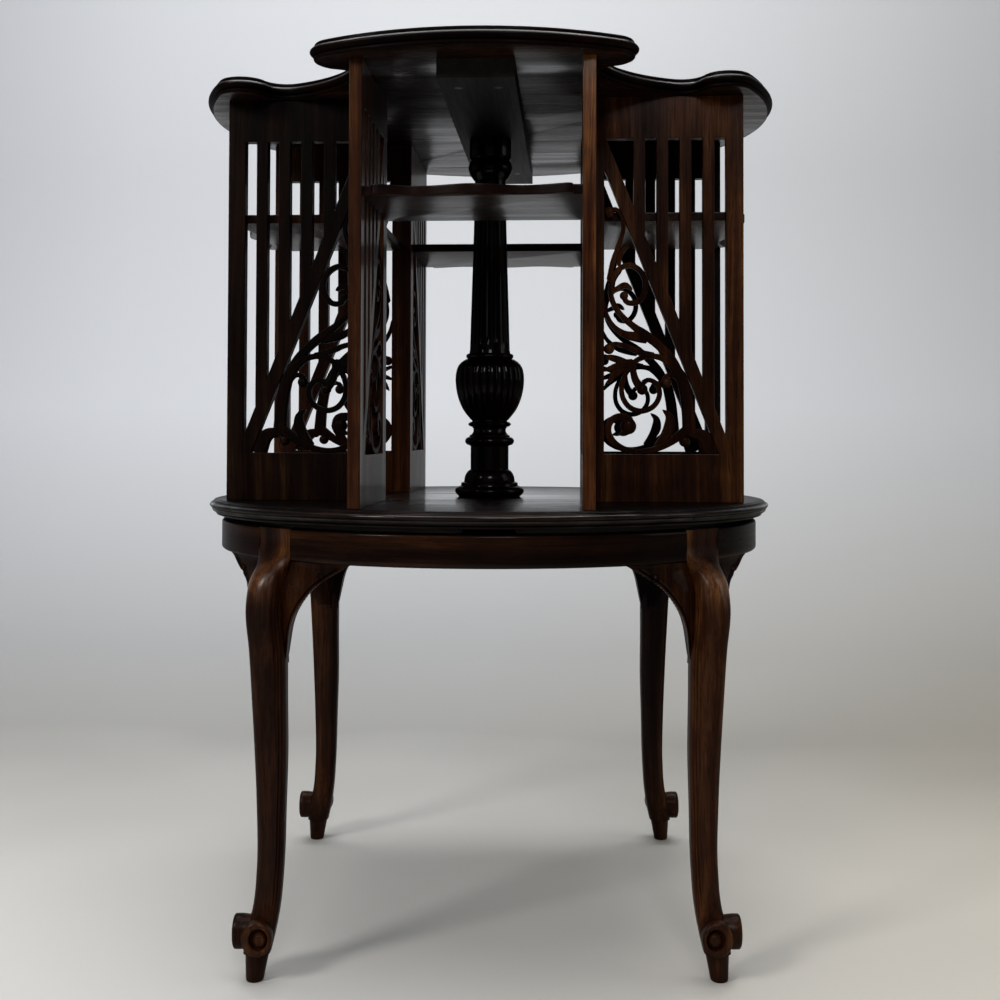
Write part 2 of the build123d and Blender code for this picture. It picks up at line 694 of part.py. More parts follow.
# Turned column: drum, rings, vase, tapering shaft and cap. It is bored from below for the
# spindle, with a bush at the top of the bore
bore_top = spindle_top + bore_headroom
vase_low = base_top + vase_foot
vase_high = vase_low + vase_height
collar_top = vase_high + vase_collar
shaft_top = batten_bottom - cap_height
with BuildPart() as column:
    with BuildSketch(Plane.XZ):
        with BuildLine():
            Polyline(
                (0, bore_top),
                (column_bore, bore_top),
                (column_bore, plateau_top),
                (tenon_radius, plateau_top),
                (tenon_radius, base_top),
                (drum_radius, base_top),
                (drum_radius, base_top + 27),
                (drum_radius + 4, base_top + 29),
            )
            ThreePointArc(
                (drum_radius + 4, base_top + 29),
                (drum_radius + 6.4, base_top + 34),
                (drum_radius + 4, base_top + 39),
            )
            Polyline(
                (drum_radius + 4, base_top + 39),
                (shaft_head_radius + 1, base_top + 43),
                (shaft_head_radius + 1, base_top + 47),
            )
            ThreePointArc(
                (shaft_head_radius + 1, base_top + 47),
                (shaft_head_radius + 6, base_top + 51),
                (shaft_head_radius + 1, base_top + 55),
            )
            Line((shaft_head_radius + 1, base_top + 55), (shaft_head_radius + 1, vase_low))
            Spline(
                (shaft_head_radius + 1, vase_low),
                (0.8 * vase_radius, vase_low + 15),
                (0.97 * vase_radius, vase_low + 31),
                (vase_radius, vase_low + 43),
                (0.92 * vase_radius, vase_high - 7),
                (shaft_foot_radius + 3, vase_high),
            )
            Line((shaft_foot_radius + 3, vase_high), (shaft_foot_radius + 4, vase_high + 1))
            Line((shaft_foot_radius + 4, vase_high + 1), (shaft_foot_radius + 4, collar_top - 1))
            Line((shaft_foot_radius + 4, collar_top - 1), (shaft_foot_radius, collar_top + 2))
            Line((shaft_foot_radius, collar_top + 2), (shaft_head_radius, shaft_top))
            Line((shaft_head_radius, shaft_top), (cap_radius - 3, shaft_top + 6))
            ThreePointArc(
                (cap_radius - 3, shaft_top + 6),
                (cap_radius + 1.5, shaft_top + 14),
                (cap_radius - 3, shaft_top + 22),
            )
            Polyline(
                (cap_radius - 3, shaft_top + 22),
                (cap_radius, shaft_top + 25),
                (cap_radius, batten_bottom),
                (0, batten_bottom),
                (0, bore_top),
            )
        make_face()
    revolve(axis=Axis.Z)
save(column, "column")

with BuildPart() as bush:
    with BuildSketch(Plane.XY.offset(spindle_top - bush_length)):
        Circle(column_bore)
        Circle(spindle_radius + running_clearance, mode=Mode.SUBTRACT)
    extrude(amount=bush_length)
save(bush, "spindle_bush")

# Batten under the top, screwed up into it, which holds the head of the column
batten_screw_spots = [
    (batten_shift + side * 0.26 * batten_width, share * batten_length)
    for side in (1, -1)
    for share in (0.37, -0.43)
]
batten_screw_depth = batten_thickness + 0.7 * top_thickness
with BuildPart() as batten:
    with BuildSketch(Plane.XY.offset(batten_bottom)):
        with Locations((batten_shift, 0)):
            Rectangle(batten_width, batten_length)
    extrude(amount=batten_thickness)
    # Seen from below, the second axis runs the other way
    with Locations(Plane(origin=(0, 0, batten_bottom), x_dir=(1, 0, 0), z_dir=(0, 0, -1))):
        with Locations(*[(across, -along) for across, along in batten_screw_spots]):
            CounterSinkHole(
                screw_radius + fit_clearance,
                screw_head_radius + fit_clearance,
                depth=batten_thickness,
                counter_sink_angle=screw_angle,
            )
save(batten, "top_batten")

with BuildPart() as batten_screws:
    with BuildSketch(Plane.XY.offset(batten_bottom)):
        with Locations(*batten_screw_spots):
            Circle(screw_head_radius)
    extrude(amount=head_height, taper=screw_angle / 2)
    with BuildSketch(Plane.XY.offset(batten_bottom + head_height)):
        with Locations(*batten_screw_spots):
            Circle(screw_radius)
    extrude(amount=batten_screw_depth - head_height)
save(batten_screws, "batten_screws")


def meeting_point(first, first_radius, second, second_radius):
    """Point at the given distances from two centres, on the right of the line between them."""
    gap = hypot(second[0] - first[0], second[1] - first[1])
    along = (gap**2 + first_radius**2 - second_radius**2) / (2 * gap)
    off = sqrt(first_radius**2 - along**2)
    ux, uy = (second[0] - first[0]) / gap, (second[1] - first[1]) / gap
    return (first[0] + ux * along + uy * off, first[1] + uy * along - ux * off)


def toward(start, target, distance):
    """Point at a distance from start, on the way to target."""
    gap = hypot(target[0] - start[0], target[1] - start[1])
    return tuple(s + (t - s) * distance / gap for s, t in zip(start, target))


# Outline of the top: four lobes, with shoulders that run into a cove over each corner
lobe_centre = (lobe_reach - lobe_radius, 0.0)
cove_middle = ((cove_depth + cove_radius) / sqrt(2), (cove_depth + cove_radius) / sqrt(2))
cove_low = radians(225 + cove_sweep)
cove_join = (cove_middle[0] + cove_radius * cos(cove_low), cove_middle[1] + cove_radius * sin(cove_low))
bend_centre = toward(cove_join, cove_middle, cove_end_radius)
shoulder_centre = meeting_point(
    lobe_centre, lobe_radius - shoulder_radius, bend_centre, cove_end_radius + shoulder_radius
)
shoulder_start = toward(lobe_centre, shoulder_centre, lobe_radius)
shoulder_end = toward(shoulder_centre, bend_centre, shoulder_radius)
shoulder_tip = toward(
    shoulder_centre,
    ((shoulder_start[0] + shoulder_end[0]) / 2, (shoulder_start[1] + shoulder_end[1]) / 2),
    shoulder_radius,
)
bend_tip = toward(
    bend_centre, ((shoulder_end[0] + cove_join[0]) / 2, (shoulder_end[1] + cove_join[1]) / 2), cove_end_radius
)
cove_tip = (cove_depth / sqrt(2), cove_depth / sqrt(2))


def turned(point, quarter, mirrored=False):
    """Point turned by a quarter turn number, after a swap across the lobe's middle line."""
    across, along = (point[0], -point[1]) if mirrored else point
    for step in range(quarter):
        across, along = -along, across
    return (across, along)


with BuildSketch(mode=Mode.PRIVATE) as top_outline:
    with BuildLine():
        for quarter in range(4):
            ThreePointArc(
                turned(shoulder_start, quarter, True),
                turned((lobe_reach, 0.0), quarter),
                turned(shoulder_start, quarter),
            )
            for mirrored in (False, True):
                ThreePointArc(
                    turned(shoulder_start, quarter, mirrored),
                    turned(shoulder_tip, quarter, mirrored),
                    turned(shoulder_end, quarter, mirrored),
                )
                ThreePointArc(
                    turned(shoulder_end, quarter, mirrored),
                    turned(bend_tip, quarter, mirrored),
                    turned(cove_join, quarter, mirrored),
                )
            ThreePointArc(
                turned(cove_join, quarter),
                turned(cove_tip, quarter),
                turned(cove_join, (quarter + 1) % 4, True),
            )
    make_face()

# Top board: a bold rounded edge between two smaller steps
low_step = 0.22 * top_thickness
high_step = 0.25 * top_thickness
with BuildPart() as top:
    with BuildSketch(Plane.XY.offset(top_underside + low_step)):
        add(top_outline.sketch)
    extrude(amount=top_thickness - low_step - high_step)
    layers = top.faces().sort_by(Axis.Z)
    fillet(layers[0].edges() + layers[-1].edges(), radius=top_round)
    for level, height in (
        (top_underside, low_step),
        (top_underside + top_thickness - high_step, high_step),
    ):
        with BuildSketch(Plane.XY.offset(level)):
            add(top_outline.sketch)
            offset(amount=-top_inset, mode=Mode.REPLACE)
        extrude(amount=height)
    with BuildSketch(Plane.XY.offset(top_underside)):
        with Locations(*dowel_spots):
            Circle(dowel_radius + fit_clearance)
    extrude(amount=dowel_length / 2, mode=Mode.SUBTRACT)
    with BuildSketch(Plane.XY.offset(top_underside)):
        with Locations(*batten_screw_spots):
            Circle(screw_radius + fit_clearance)
    extrude(amount=batten_screw_depth - batten_thickness, mode=Mode.SUBTRACT)
save(top, "top")
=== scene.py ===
# %% [markdown]
# # A revolving bookcase in dark polished wood
# The bookcase turns on a stand of four cabriole legs. Its solids come packed from the CAD model
# and stay where they are. This lesson dresses them: each board, turning and carving is worked out
# with numpy as a surface, and given a wood that is mixed from noise.
# First the imported frame is loaded.

# %% Load the frame
from math import cos, pi, radians, sin, sqrt

import bpy
import numpy as np
from mathutils import Matrix, Vector


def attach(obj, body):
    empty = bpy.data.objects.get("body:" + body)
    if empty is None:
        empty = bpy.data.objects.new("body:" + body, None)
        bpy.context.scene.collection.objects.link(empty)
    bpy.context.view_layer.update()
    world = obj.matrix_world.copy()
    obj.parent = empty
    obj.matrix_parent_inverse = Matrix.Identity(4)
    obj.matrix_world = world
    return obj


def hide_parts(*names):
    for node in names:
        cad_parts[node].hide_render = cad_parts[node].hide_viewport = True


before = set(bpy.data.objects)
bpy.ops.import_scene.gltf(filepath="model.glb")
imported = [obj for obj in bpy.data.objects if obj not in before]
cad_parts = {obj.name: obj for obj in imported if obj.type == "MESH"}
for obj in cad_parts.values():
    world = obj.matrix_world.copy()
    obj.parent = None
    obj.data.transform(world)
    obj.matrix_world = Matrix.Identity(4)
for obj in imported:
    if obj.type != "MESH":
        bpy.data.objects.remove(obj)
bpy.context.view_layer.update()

MM = 0.001

# %% [markdown]
# ## Sizes that the dressing shares with the solids
# The dressing has to follow the solids exactly, so the sizes that both need are written down once,
# in millimetres, in the words of a joiner. The bookcase's bays lie along the axes. The stand under
# it is turned a little, and its pieces are first shaped square to the axes and turned afterwards.

# %% Shared sizes
STAND_TURN = radians(3.5)
APRON_LOW = 387.0
APRON_RADIUS = 287.0
APRON_WALL = 22.0
LEG_BLOCK = 36.0
LEG_OFFSET = APRON_RADIUS / sqrt(2)
PLATEAU_LOW = 422.0
PLATEAU_TOP = 438.0
BAY_HALF = 100.3
BOARD = 12.0
PANEL_END = 262.9
PANEL_HEIGHT = 411.0
TOP_LOW = PLATEAU_TOP + PANEL_HEIGHT
TOP_THICKNESS = 17.0
BATTEN_LOW = TOP_LOW - 18.0
SHELF_LOW = PLATEAU_TOP + 285.5
print("top of the bookcase at", TOP_LOW + TOP_THICKNESS, "mm")

# %% [markdown]
# ## From arrays to a mesh
# Every new piece is made of shells. A shell is an array of points, the faces that join them, and
# one number for each point: above 0 the wood is lighter and its polish glossier, below 0 darker and
# duller. It stands for wear of the polish, and in places for painted light and shade.
# The faces are turned outwards by the sign of the volume that they close, so no shell can end up
# inside out, and one helper puts all shells of a piece into one mesh.


# %% Shells and meshes
def grid_faces(rows, columns, wrap_rows=False, wrap_columns=False):
    """Quads that join neighbouring points of a grid whose points are numbered row by row."""
    row = np.arange(rows if wrap_rows else rows - 1)
    column = np.arange(columns if wrap_columns else columns - 1)
    r, c = np.meshgrid(row, column, indexing="ij")
    below, beside = (r + 1) % rows, (c + 1) % columns
    corners = [r * columns + c, r * columns + beside, below * columns + beside, below * columns + c]
    return np.stack(corners, -1).reshape(-1, 4)


def shell(points, faces, rubbed=0.0):
    """Points in millimetres, faces as index arrays, and at each point a number for wear of the polish and for
    painted light and shade.
    """
    points = np.asarray(points, float).reshape(-1, 3)
    rubbed = np.broadcast_to(np.asarray(rubbed, float).reshape(-1), len(points))
    volume = 0.0
    for index in faces:
        first = points[index[:, :1]]
        second, third = points[index[:, 1:-1]], points[index[:, 2:]]
        volume += np.sum(np.cross(second, third) * first)
    if volume < 0:
        faces = [index[:, ::-1] for index in faces]
    return points, faces, rubbed


def tube(points, rubbed=0.0, wrap_rows=False):
    """Closed shell of a grid of points whose columns go round, with its two open ends covered."""
    rows, columns = points.shape[:2]
    faces = [grid_faces(rows, columns, wrap_rows, True)]
    if not wrap_rows:
        faces.append(np.arange(columns)[None, ::-1])
        faces.append(((rows - 1) * columns + np.arange(columns))[None])
    return shell(points, faces, np.broadcast_to(rubbed, (rows, columns)))


def add_object(name, data):
    """A new object in the scene that shows this data."""
    added = bpy.data.objects.new(name, data)
    bpy.context.scene.collection.objects.link(added)
    return added


def make_piece(name, body, shells, material, replaces=(), sharp=38.0, turn=0.0):
    """One object at the origin from several shells, turned about the upright axis in its mesh."""
    points, faces, rubbed, count = [], [], [], 0
    for shell_points, shell_faces, shell_wear_and_painted_light in shells:
        points.append(shell_points)
        rubbed.append(shell_wear_and_painted_light)
        for index in shell_faces:
            faces += (index + count).tolist()
        count += len(shell_points)
    points = np.concatenate(points) * MM
    across = points[:, 0] * cos(turn) - points[:, 1] * sin(turn)
    along = points[:, 0] * sin(turn) + points[:, 1] * cos(turn)
    mesh = bpy.data.meshes.new(name)
    mesh.from_pydata(np.stack([across, along, points[:, 2]], -1).tolist(), [], faces)
    mesh.validate()
    mesh.polygons.foreach_set("use_smooth", np.ones(len(mesh.polygons), bool))
    mesh.set_sharp_from_angle(angle=radians(sharp))
    attribute = mesh.attributes.new("rubbed", "FLOAT", "POINT")
    attribute.data.foreach_set("value", np.concatenate(rubbed).astype(np.float32))
    mesh.materials.append(material)
    piece = add_object(name, mesh)
    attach(piece, body)
    if replaces:
        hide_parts(*replaces)
    return piece


def smooth(at, knots, values):
    """Cubic through the knots, whose slope at each knot comes from the knots beside it."""
    knots, values = np.asarray(knots, float), np.asarray(values, float)
    slopes = np.gradient(values, knots)
    spot = np.clip(np.searchsorted(knots, at, side="right") - 1, 0, len(knots) - 2)
    span = knots[spot + 1] - knots[spot]
    t = np.clip((at - knots[spot]) / span, 0, 1)
    near = (2 * t**3 - 3 * t**2 + 1) * values[spot] + (t**3 - 2 * t**2 + t) * span * slopes[spot]
    far = (3 * t**2 - 2 * t**3) * values[spot + 1] + (t**3 - t**2) * span * slopes[spot + 1]
    return near + far


def ease(value, low, high):
    """0 below low, 1 above high, and a smooth step between them."""
    t = np.clip((value - low) / (high - low), 0, 1)
    return t * t * (3 - 2 * t)


def bump(value, middle, width):
    """Bell of height 1 round the middle: e to the minus square of the distance over the width."""
    return np.exp(-(((value - middle) / width) ** 2))


def run_length(points):
    """How far along a broken line each of its points lies."""
    return np.concatenate([[0], np.cumsum(np.hypot(*np.diff(points, axis=0).T))])


def along_line(points, step):
    """Points of a broken line, with more put in so that none are further apart than a step."""
    points = np.asarray(points, float)
    length = run_length(points)
    even = np.linspace(0, length[-1], int(length[-1] / step) + 2)
    spots = np.unique(np.concatenate([length, even]))
    return np.stack([np.interp(spots, length, points[:, axis]) for axis in (0, 1)], -1)


def unit_rows(vectors):
    """Vectors in a plane, one to a row, each brought to length 1."""
    return vectors / np.hypot(*vectors.T)[:, None]


def full_turn(count):
    """That many angles, spread evenly over a full turn."""
    return np.linspace(0, 2 * pi, count, endpoint=False)


def polar(radius, angle, level=None):
    """Points at a radius and an angle, and at a level where one is given."""
    parts = [radius * np.cos(angle), radius * np.sin(angle)]
    if level is not None:
        parts.append(np.broadcast_to(level, parts[0].shape))
    return np.stack(parts, -1)


print("helpers are ready")

# %% [markdown]
# ## Writing shader maths as plain arithmetic
# A node tree soon turns into a tangle when every sum is a node written by hand. A small class wraps
# one socket and overloads the arithmetic operators, so a formula for a mask reads like a formula.
# Any other node comes from one function that takes the node's type, its settings and its inputs.


# %% Sockets that can be added and multiplied
class Socket:
    """One output of a node. Arithmetic on it adds Math nodes to its tree."""

    def __init__(self, tree, output):
        self.tree, self.output = tree, output

    def math(self, operation, *others, clamp=False):
        values = dict(enumerate([self, *others]))
        return node(self.tree, "ShaderNodeMath", {"operation": operation, "use_clamp": clamp}, values)

    def __add__(self, other):
        return self.math("ADD", other)

    def __mul__(self, other):
        return self.math("MULTIPLY", other)

    def __sub__(self, other):
        return self.math("SUBTRACT", other)

    def __rsub__(self, other):
        return node(self.tree, "ShaderNodeMath", {"operation": "SUBTRACT"}, {0: other, 1: self})

    __radd__ = __add__
    __rmul__ = __mul__

    def limited(self):
        return self.math("ADD", 0.0, clamp=True)


def connect(made, values):
    """Give a node's inputs their values: a socket is linked, anything else is written in."""
    for key, value in values.items():
        if isinstance(value, Socket):
            value.tree.links.new(value.output, made.inputs[key])
        else:
            made.inputs[key].default_value = value


def node(tree, kind, settings, values, out=0):
    """Add a node, set its settings first, then the values or links of its sockets."""
    made = tree.nodes.new(kind)
    for key, value in settings.items():
        if key == "stops":
            ramp = made.color_ramp
            while len(ramp.elements) < len(value):
                ramp.elements.new(1.0)
            for element, (place, colour) in zip(ramp.elements, value):
                element.position = place
                element.color = (*colour, 1.0)
        else:
            setattr(made, key, value)
    connect(made, values)
    return Socket(tree, made.outputs[out])


def vector_maths(tree, operation, first, second):
    """A Vector Math node on two vectors."""
    return node(tree, "ShaderNodeVectorMath", {"operation": operation}, {0: first, 1: second})


def separated(tree, vector):
    """The three coordinates of a vector, each as a socket."""
    parts = tree.nodes.new("ShaderNodeSeparateXYZ")
    tree.links.new(vector.output, parts.inputs[0])
    return [Socket(tree, output) for output in parts.outputs]


def blend_colours(tree, factor, first, second, how="MIX"):
    """A colour mix: the first colour where the factor is 0, the second where it is 1."""
    settings = {"data_type": "RGBA", "blend_type": how}
    return node(tree, "ShaderNodeMix", settings, {0: factor, 6: first, 7: second}, out=2)


def new_material(name):
    """A material with a surface shader, its tree, and the coordinates of the piece that wears it."""
    material = bpy.data.materials.new(name)
    material.use_nodes = True
    tree = material.node_tree
    place = node(tree, "ShaderNodeTexCoord", {}, {}, out=3)
    return material, tree, tree.nodes["Principled BSDF"], place


def bumped(tree, height, strength, distance):
    """A normal that a height disturbs, up to a distance in metres."""
    values = {"Height": height, "Strength": strength, "Distance": distance}
    return node(tree, "ShaderNodeBump", {}, values)


print("shader helpers are ready")

# %% [markdown]
# ## Mahogany under old French polish
# The wood is nearly black in the shade, and glows orange brown where light reaches into it. Under
# the polish there are long fine fibres, broader dark and light streaks, and short open pores that
# the polish has not filled. The polish itself is a thin hard layer with a soft gloss. A number at
# each point makes the wood lighter and its polish glossier above 0, darker and duller below 0: wear
# of the polish on edges, and painted light and shade as well, painted highlight lines on crests and
# painted shade in grooves, gaps and undersides. So the colour comes from noises stretched along the
# grain, and the polish is the shader's coat. What differs between boards is the way that the grain
# runs, a shift that makes each board a different piece of the same log, and the wood's depth, gloss
# and warmth. Where the panels differ in depth from each other, and the brackets from the legs, that
# is painted light and shade.


# %% The grain's own coordinates
RING_RADIUS = 0.28  # metres: the radius at which grain that runs round a ring has its true length


def grain_up(tree, place):
    """Grain along the upright axis: the coordinates as they are."""
    return place


def grain_across(tree, place):
    """Grain along the x axis: x becomes the third coordinate."""
    x, y, z = separated(tree, place)
    return node(tree, "ShaderNodeCombineXYZ", {}, {0: y, 1: z, 2: x})


def grain_deep(tree, place):
    """Grain along the y axis: y becomes the third coordinate."""
    x, y, z = separated(tree, place)
    return node(tree, "ShaderNodeCombineXYZ", {}, {0: x, 1: z, 2: y})


def grain_round(tree, place):
    """Grain round the upright axis: the angle times a radius becomes the third coordinate."""
    x, y, z = separated(tree, place)
    angle = y.math("ARCTAN2", x)
    radius = (x * x + y * y).math("SQRT")
    return node(tree, "ShaderNodeCombineXYZ", {}, {0: radius, 1: z, 2: angle * RING_RADIUS})


def noise(tree, place, scale, stretch, detail=3.0, roughness=0.5, shift=0.0):
    """A noise of that many lumps to the metre, drawn out along the third coordinate."""
    sized = vector_maths(tree, "MULTIPLY", place, (scale, scale, scale * stretch))
    moved = vector_maths(tree, "ADD", sized, (shift, 1.7 * shift, 2.3 * shift))
    values = {"Vector": moved, "Scale": 1.0, "Detail": detail, "Roughness": roughness}
    return node(tree, "ShaderNodeTexNoise", {"noise_dimensions": "3D"}, values)


MAHOGANY = [
    (0.0, (0.0045, 0.0013, 0.0007)),
    (0.35, (0.0135, 0.0037, 0.0013)),
    (0.62, (0.034, 0.0098, 0.0027)),
    (0.85, (0.078, 0.0265, 0.0068)),
    (1.0, (0.155, 0.062, 0.017)),
]


def polished_wood(name, grain, shift=0.0, depth=1.0, coat=0.1, blur=0.14, rough=0.42, warm=0.0):
    """French-polished mahogany. depth below 1 darkens it, and warm brings up its orange streaks."""
    material, tree, surface, place = new_material(name)
    line = grain(tree, place)
    sway = noise(tree, line, 9.0, 0.35, 1.0, shift=shift)
    shove = node(tree, "ShaderNodeCombineXYZ", {}, {0: (sway - 0.5) * 0.02})
    swayed = vector_maths(tree, "ADD", line, shove)
    streaks = noise(tree, swayed, 70.0, 0.045, 4.0, 0.6, shift)
    bands = noise(tree, swayed, 22.0, 0.07, 2.0, 0.5, shift + 4.0)
    fibres = noise(tree, swayed, 520.0, 0.02, 3.0, 0.65, shift)
    flame = noise(tree, swayed, 34.0, 0.7, 2.0, 0.6, shift + 9.0)
    pores = noise(tree, swayed, 1500.0, 0.03, 1.0, 0.5, shift)
    pore = ((0.40 - pores) * 14.0).limited()
    rubbed = node(tree, "ShaderNodeAttribute", {"attribute_name": "rubbed"}, {}, out=2)

    tone = streaks * 0.9 + bands * 0.75 + fibres * 0.35 + flame * 0.3
    # The point's number lightens the tone above 0 and darkens it below 0: wear, and painted light and shade.
    tone = ((tone - 1.15 + 0.16 * warm) * 1.5 + 0.5 + rubbed * 0.2 - pore * 0.25).limited()
    stops = [(at, [channel * depth for channel in colour]) for at, colour in MAHOGANY]

    cloud = noise(tree, place, 14.0, 1.0, 3.0, 0.6, shift + 2.0)
    dull = rough + (fibres - 0.5) * 0.14 + (cloud - 0.5) * 0.16 - rubbed * 0.08
    film = coat * (0.75 + 0.5 * cloud) + rubbed * 0.25
    broken = (streaks - 0.5) * 2.6 + (fibres - 0.5) * 1.2 + 1.0
    ripple = noise(tree, swayed, 120.0, 0.05, 2.0, 0.5, shift)
    connect(surface, {
        "Base Color": node(tree, "ShaderNodeValToRGB", {"stops": stops}, {0: tone}),
        "Roughness": dull.limited(),
        "Coat Weight": (film * broken).limited(),
        "Coat Roughness": blur,
        "Coat IOR": 1.5,
        "Specular IOR Level": 0.02,
        "Normal": bumped(tree, fibres * 0.6 + ripple * 0.8 - pore * 0.8, 0.3, 0.0006),
    })
    return material


leg_wood = polished_wood("leg_wood", grain_up, 3.0, depth=0.56, coat=0.09, blur=0.3, warm=0.2)
# The brackets wear the legs' own wood at half the depth: painted shade for the ears under the apron.
bracket_wood_in_painted_shade = polished_wood("bracket_wood_in_painted_shade", grain_up, 3.0, depth=0.28, coat=0.04)
apron_wood = polished_wood("apron_wood", grain_round, 7.0, depth=0.26, coat=0.05, warm=-0.2)
plateau_wood = polished_wood("plateau_wood", grain_across, 12.0, depth=0.24, rough=0.36, coat=0.72)
column_wood = polished_wood("column_wood", grain_up, 15.0, depth=0.1, coat=0.15, blur=0.1, warm=-0.8)
shelf_wood = polished_wood("shelf_wood", grain_across, 18.0, depth=0.5, coat=0.4, blur=0.27)
side_shelf_wood = polished_wood("side_shelf_wood", grain_deep, 18.7, depth=0.5, coat=0.4, blur=0.27)
top_wood = polished_wood("top_wood", grain_across, 21.0, depth=0.26, coat=0.5, blur=0.27)
# The four panel woods are one wood at depths 0.85, 0.58 and 0.1: painted light and shade, lighter copies for
# panels in light and darker ones for panels in shade.
lit_and_shaded_panel_woods = [polished_wood(f"panel_wood_{n}", grain_up, 30.0 + 5.3 * n, depth=depth, warm=0.2)
               for n, depth in enumerate((0.85, 0.58, 0.1, 0.58))]
print("polished woods:", 8 + len(lit_and_shaded_panel_woods))

# %% [markdown]
# ## Plain timber, iron, brass and screws
# Under the top runs a batten that was never polished, and the pivot is iron turning on brass. They
# are small, but a visitor who looks up or turns the bookcase over sees them, so each gets its own
# finish. These solids already have the right shape and keep it: only their material is new.


# %% Finishes of the plain pieces
def plain_timber(name, grain, shift):
    """Unpolished board with its saw-dulled grain, coloured nearly black: painted shade."""
    material, tree, surface, place = new_material(name)
    line = grain(tree, place)
    streaks = noise(tree, line, 90.0, 0.04, 4.0, 0.6, shift)
    fibres = noise(tree, line, 600.0, 0.02, 2.0, 0.6, shift)
    stains = noise(tree, place, 12.0, 1.0, 3.0, 0.6, shift)
    tone = (streaks * 1.1 + fibres * 0.5 + stains * 0.5 - 0.6).limited()
    # Painted shade: near-black tones for boards that sit in shade under the top and the plateau.
    stops = [(0.0, (0.001, 0.0009, 0.0008)),
             (0.5, (0.004, 0.0034, 0.003)),
             (1.0, (0.015, 0.0125, 0.0105))]
    connect(surface, {
        "Base Color": node(tree, "ShaderNodeValToRGB", {"stops": stops}, {0: tone}),
        "Roughness": (0.62 + (fibres - 0.5) * 0.3).limited(),
        "Specular IOR Level": 0.15,
        "Normal": bumped(tree, fibres + streaks, 0.3, 0.0008),
    })
    return material


def old_metal(name, dark, light, metallic, rough, scale):
    """Cast or turned metal: two tones in clouds, duller where it is darker."""
    material, tree, surface, place = new_material(name)
    cloud = noise(tree, place, scale, 1.0, 4.0, 0.6)
    specks = noise(tree, place, scale * 12, 1.0, 2.0, 0.5)
    tone = (cloud * 1.2 + specks * 0.4 - 0.3).limited()
    connect(surface, {
        "Base Color": blend_colours(tree, tone, (*dark, 1.0), (*light, 1.0)),
        "Roughness": (rough + 0.25 * (0.5 - tone)).limited(),
        "Metallic": metallic,
        "Normal": bumped(tree, specks + cloud, 0.25, 0.0004),
    })
    return material


batten_wood = plain_timber("batten_wood", grain_deep, 2.0)
bearer_wood = plain_timber("bearer_wood", grain_across, 5.0)
iron = old_metal("pivot_iron", (0.025, 0.022, 0.02), (0.1, 0.09, 0.085), 0.85, 0.5, 60.0)
brass = old_metal("worn_brass", (0.28, 0.17, 0.06), (0.65, 0.46, 0.2), 1.0, 0.32, 90.0)
screw_steel = old_metal("screw_steel", (0.06, 0.055, 0.05), (0.22, 0.2, 0.19), 1.0, 0.42, 240.0)
# The batten's screws are coloured near black: painted shade under the top.
black_screws = old_metal("black_screws", (0.004, 0.004, 0.004), (0.015, 0.013, 0.012), 0.3, 0.5, 240.0)
plain_finishes = [
    (bearer_wood, ["bearer_long", "bearer_cross"]),
    (batten_wood, ["top_batten", "top_dowels"]),
    (iron, ["pivot_spindle", "pivot_socket"]),
    (brass, ["thrust_washer", "spindle_bush"]),
    (screw_steel, ["flange_screws", "socket_screws", "panel_screws"]),
    (black_screws, ["batten_screws"]),
]
for finish, labels in plain_finishes:
    for label in labels:
        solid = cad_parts[label]
        solid.data.materials.clear()
        solid.data.materials.append(finish)
    print(finish.name, "on", ", ".join(labels))

# %% [markdown]
# ## Cabriole legs
# A cabriole leg is sawn to an S curve and then shaped by hand: a swelling knee under the apron, a
# shin that tapers to a slim ankle, and a toe that scrolls out on both faces. Here a rounded square
# is carried up the leg, and its width, its lean and the rounding of its corners follow curves. The
# knee is where the square block at the head is cut to the apron's own roundness: points beyond a
# swelling outline are drawn back to it softly, which leaves the knee round and its head flat. Two
# fine quirks and a sunk strip run down each face beside the inner corner.

# %% The section that is carried up the leg
corner_steps, side_steps = 34, 12
sweep = np.linspace(0, pi / 2, corner_steps)
corner_mids = [(1, 1), (-1, 1), (-1, -1), (1, -1)]
square, normal = [], []
for number, (cx, cy) in enumerate(corner_mids):
    angle = sweep + number * pi / 2
    square.append(np.tile([cx, cy], (corner_steps, 1)))
    normal.append(polar(1, angle))
    nx, ny = corner_mids[(number + 1) % 4]
    between = np.linspace(0, 1, side_steps + 2)[1:-1, None]
    square.append((1 - between) * [cx, cy] + between * [nx, ny])
    normal.append(np.tile([cos(angle[-1]), sin(angle[-1])], (side_steps, 1)))
square, normal = np.concatenate(square), np.concatenate(normal)
print("points round a leg:", len(square))


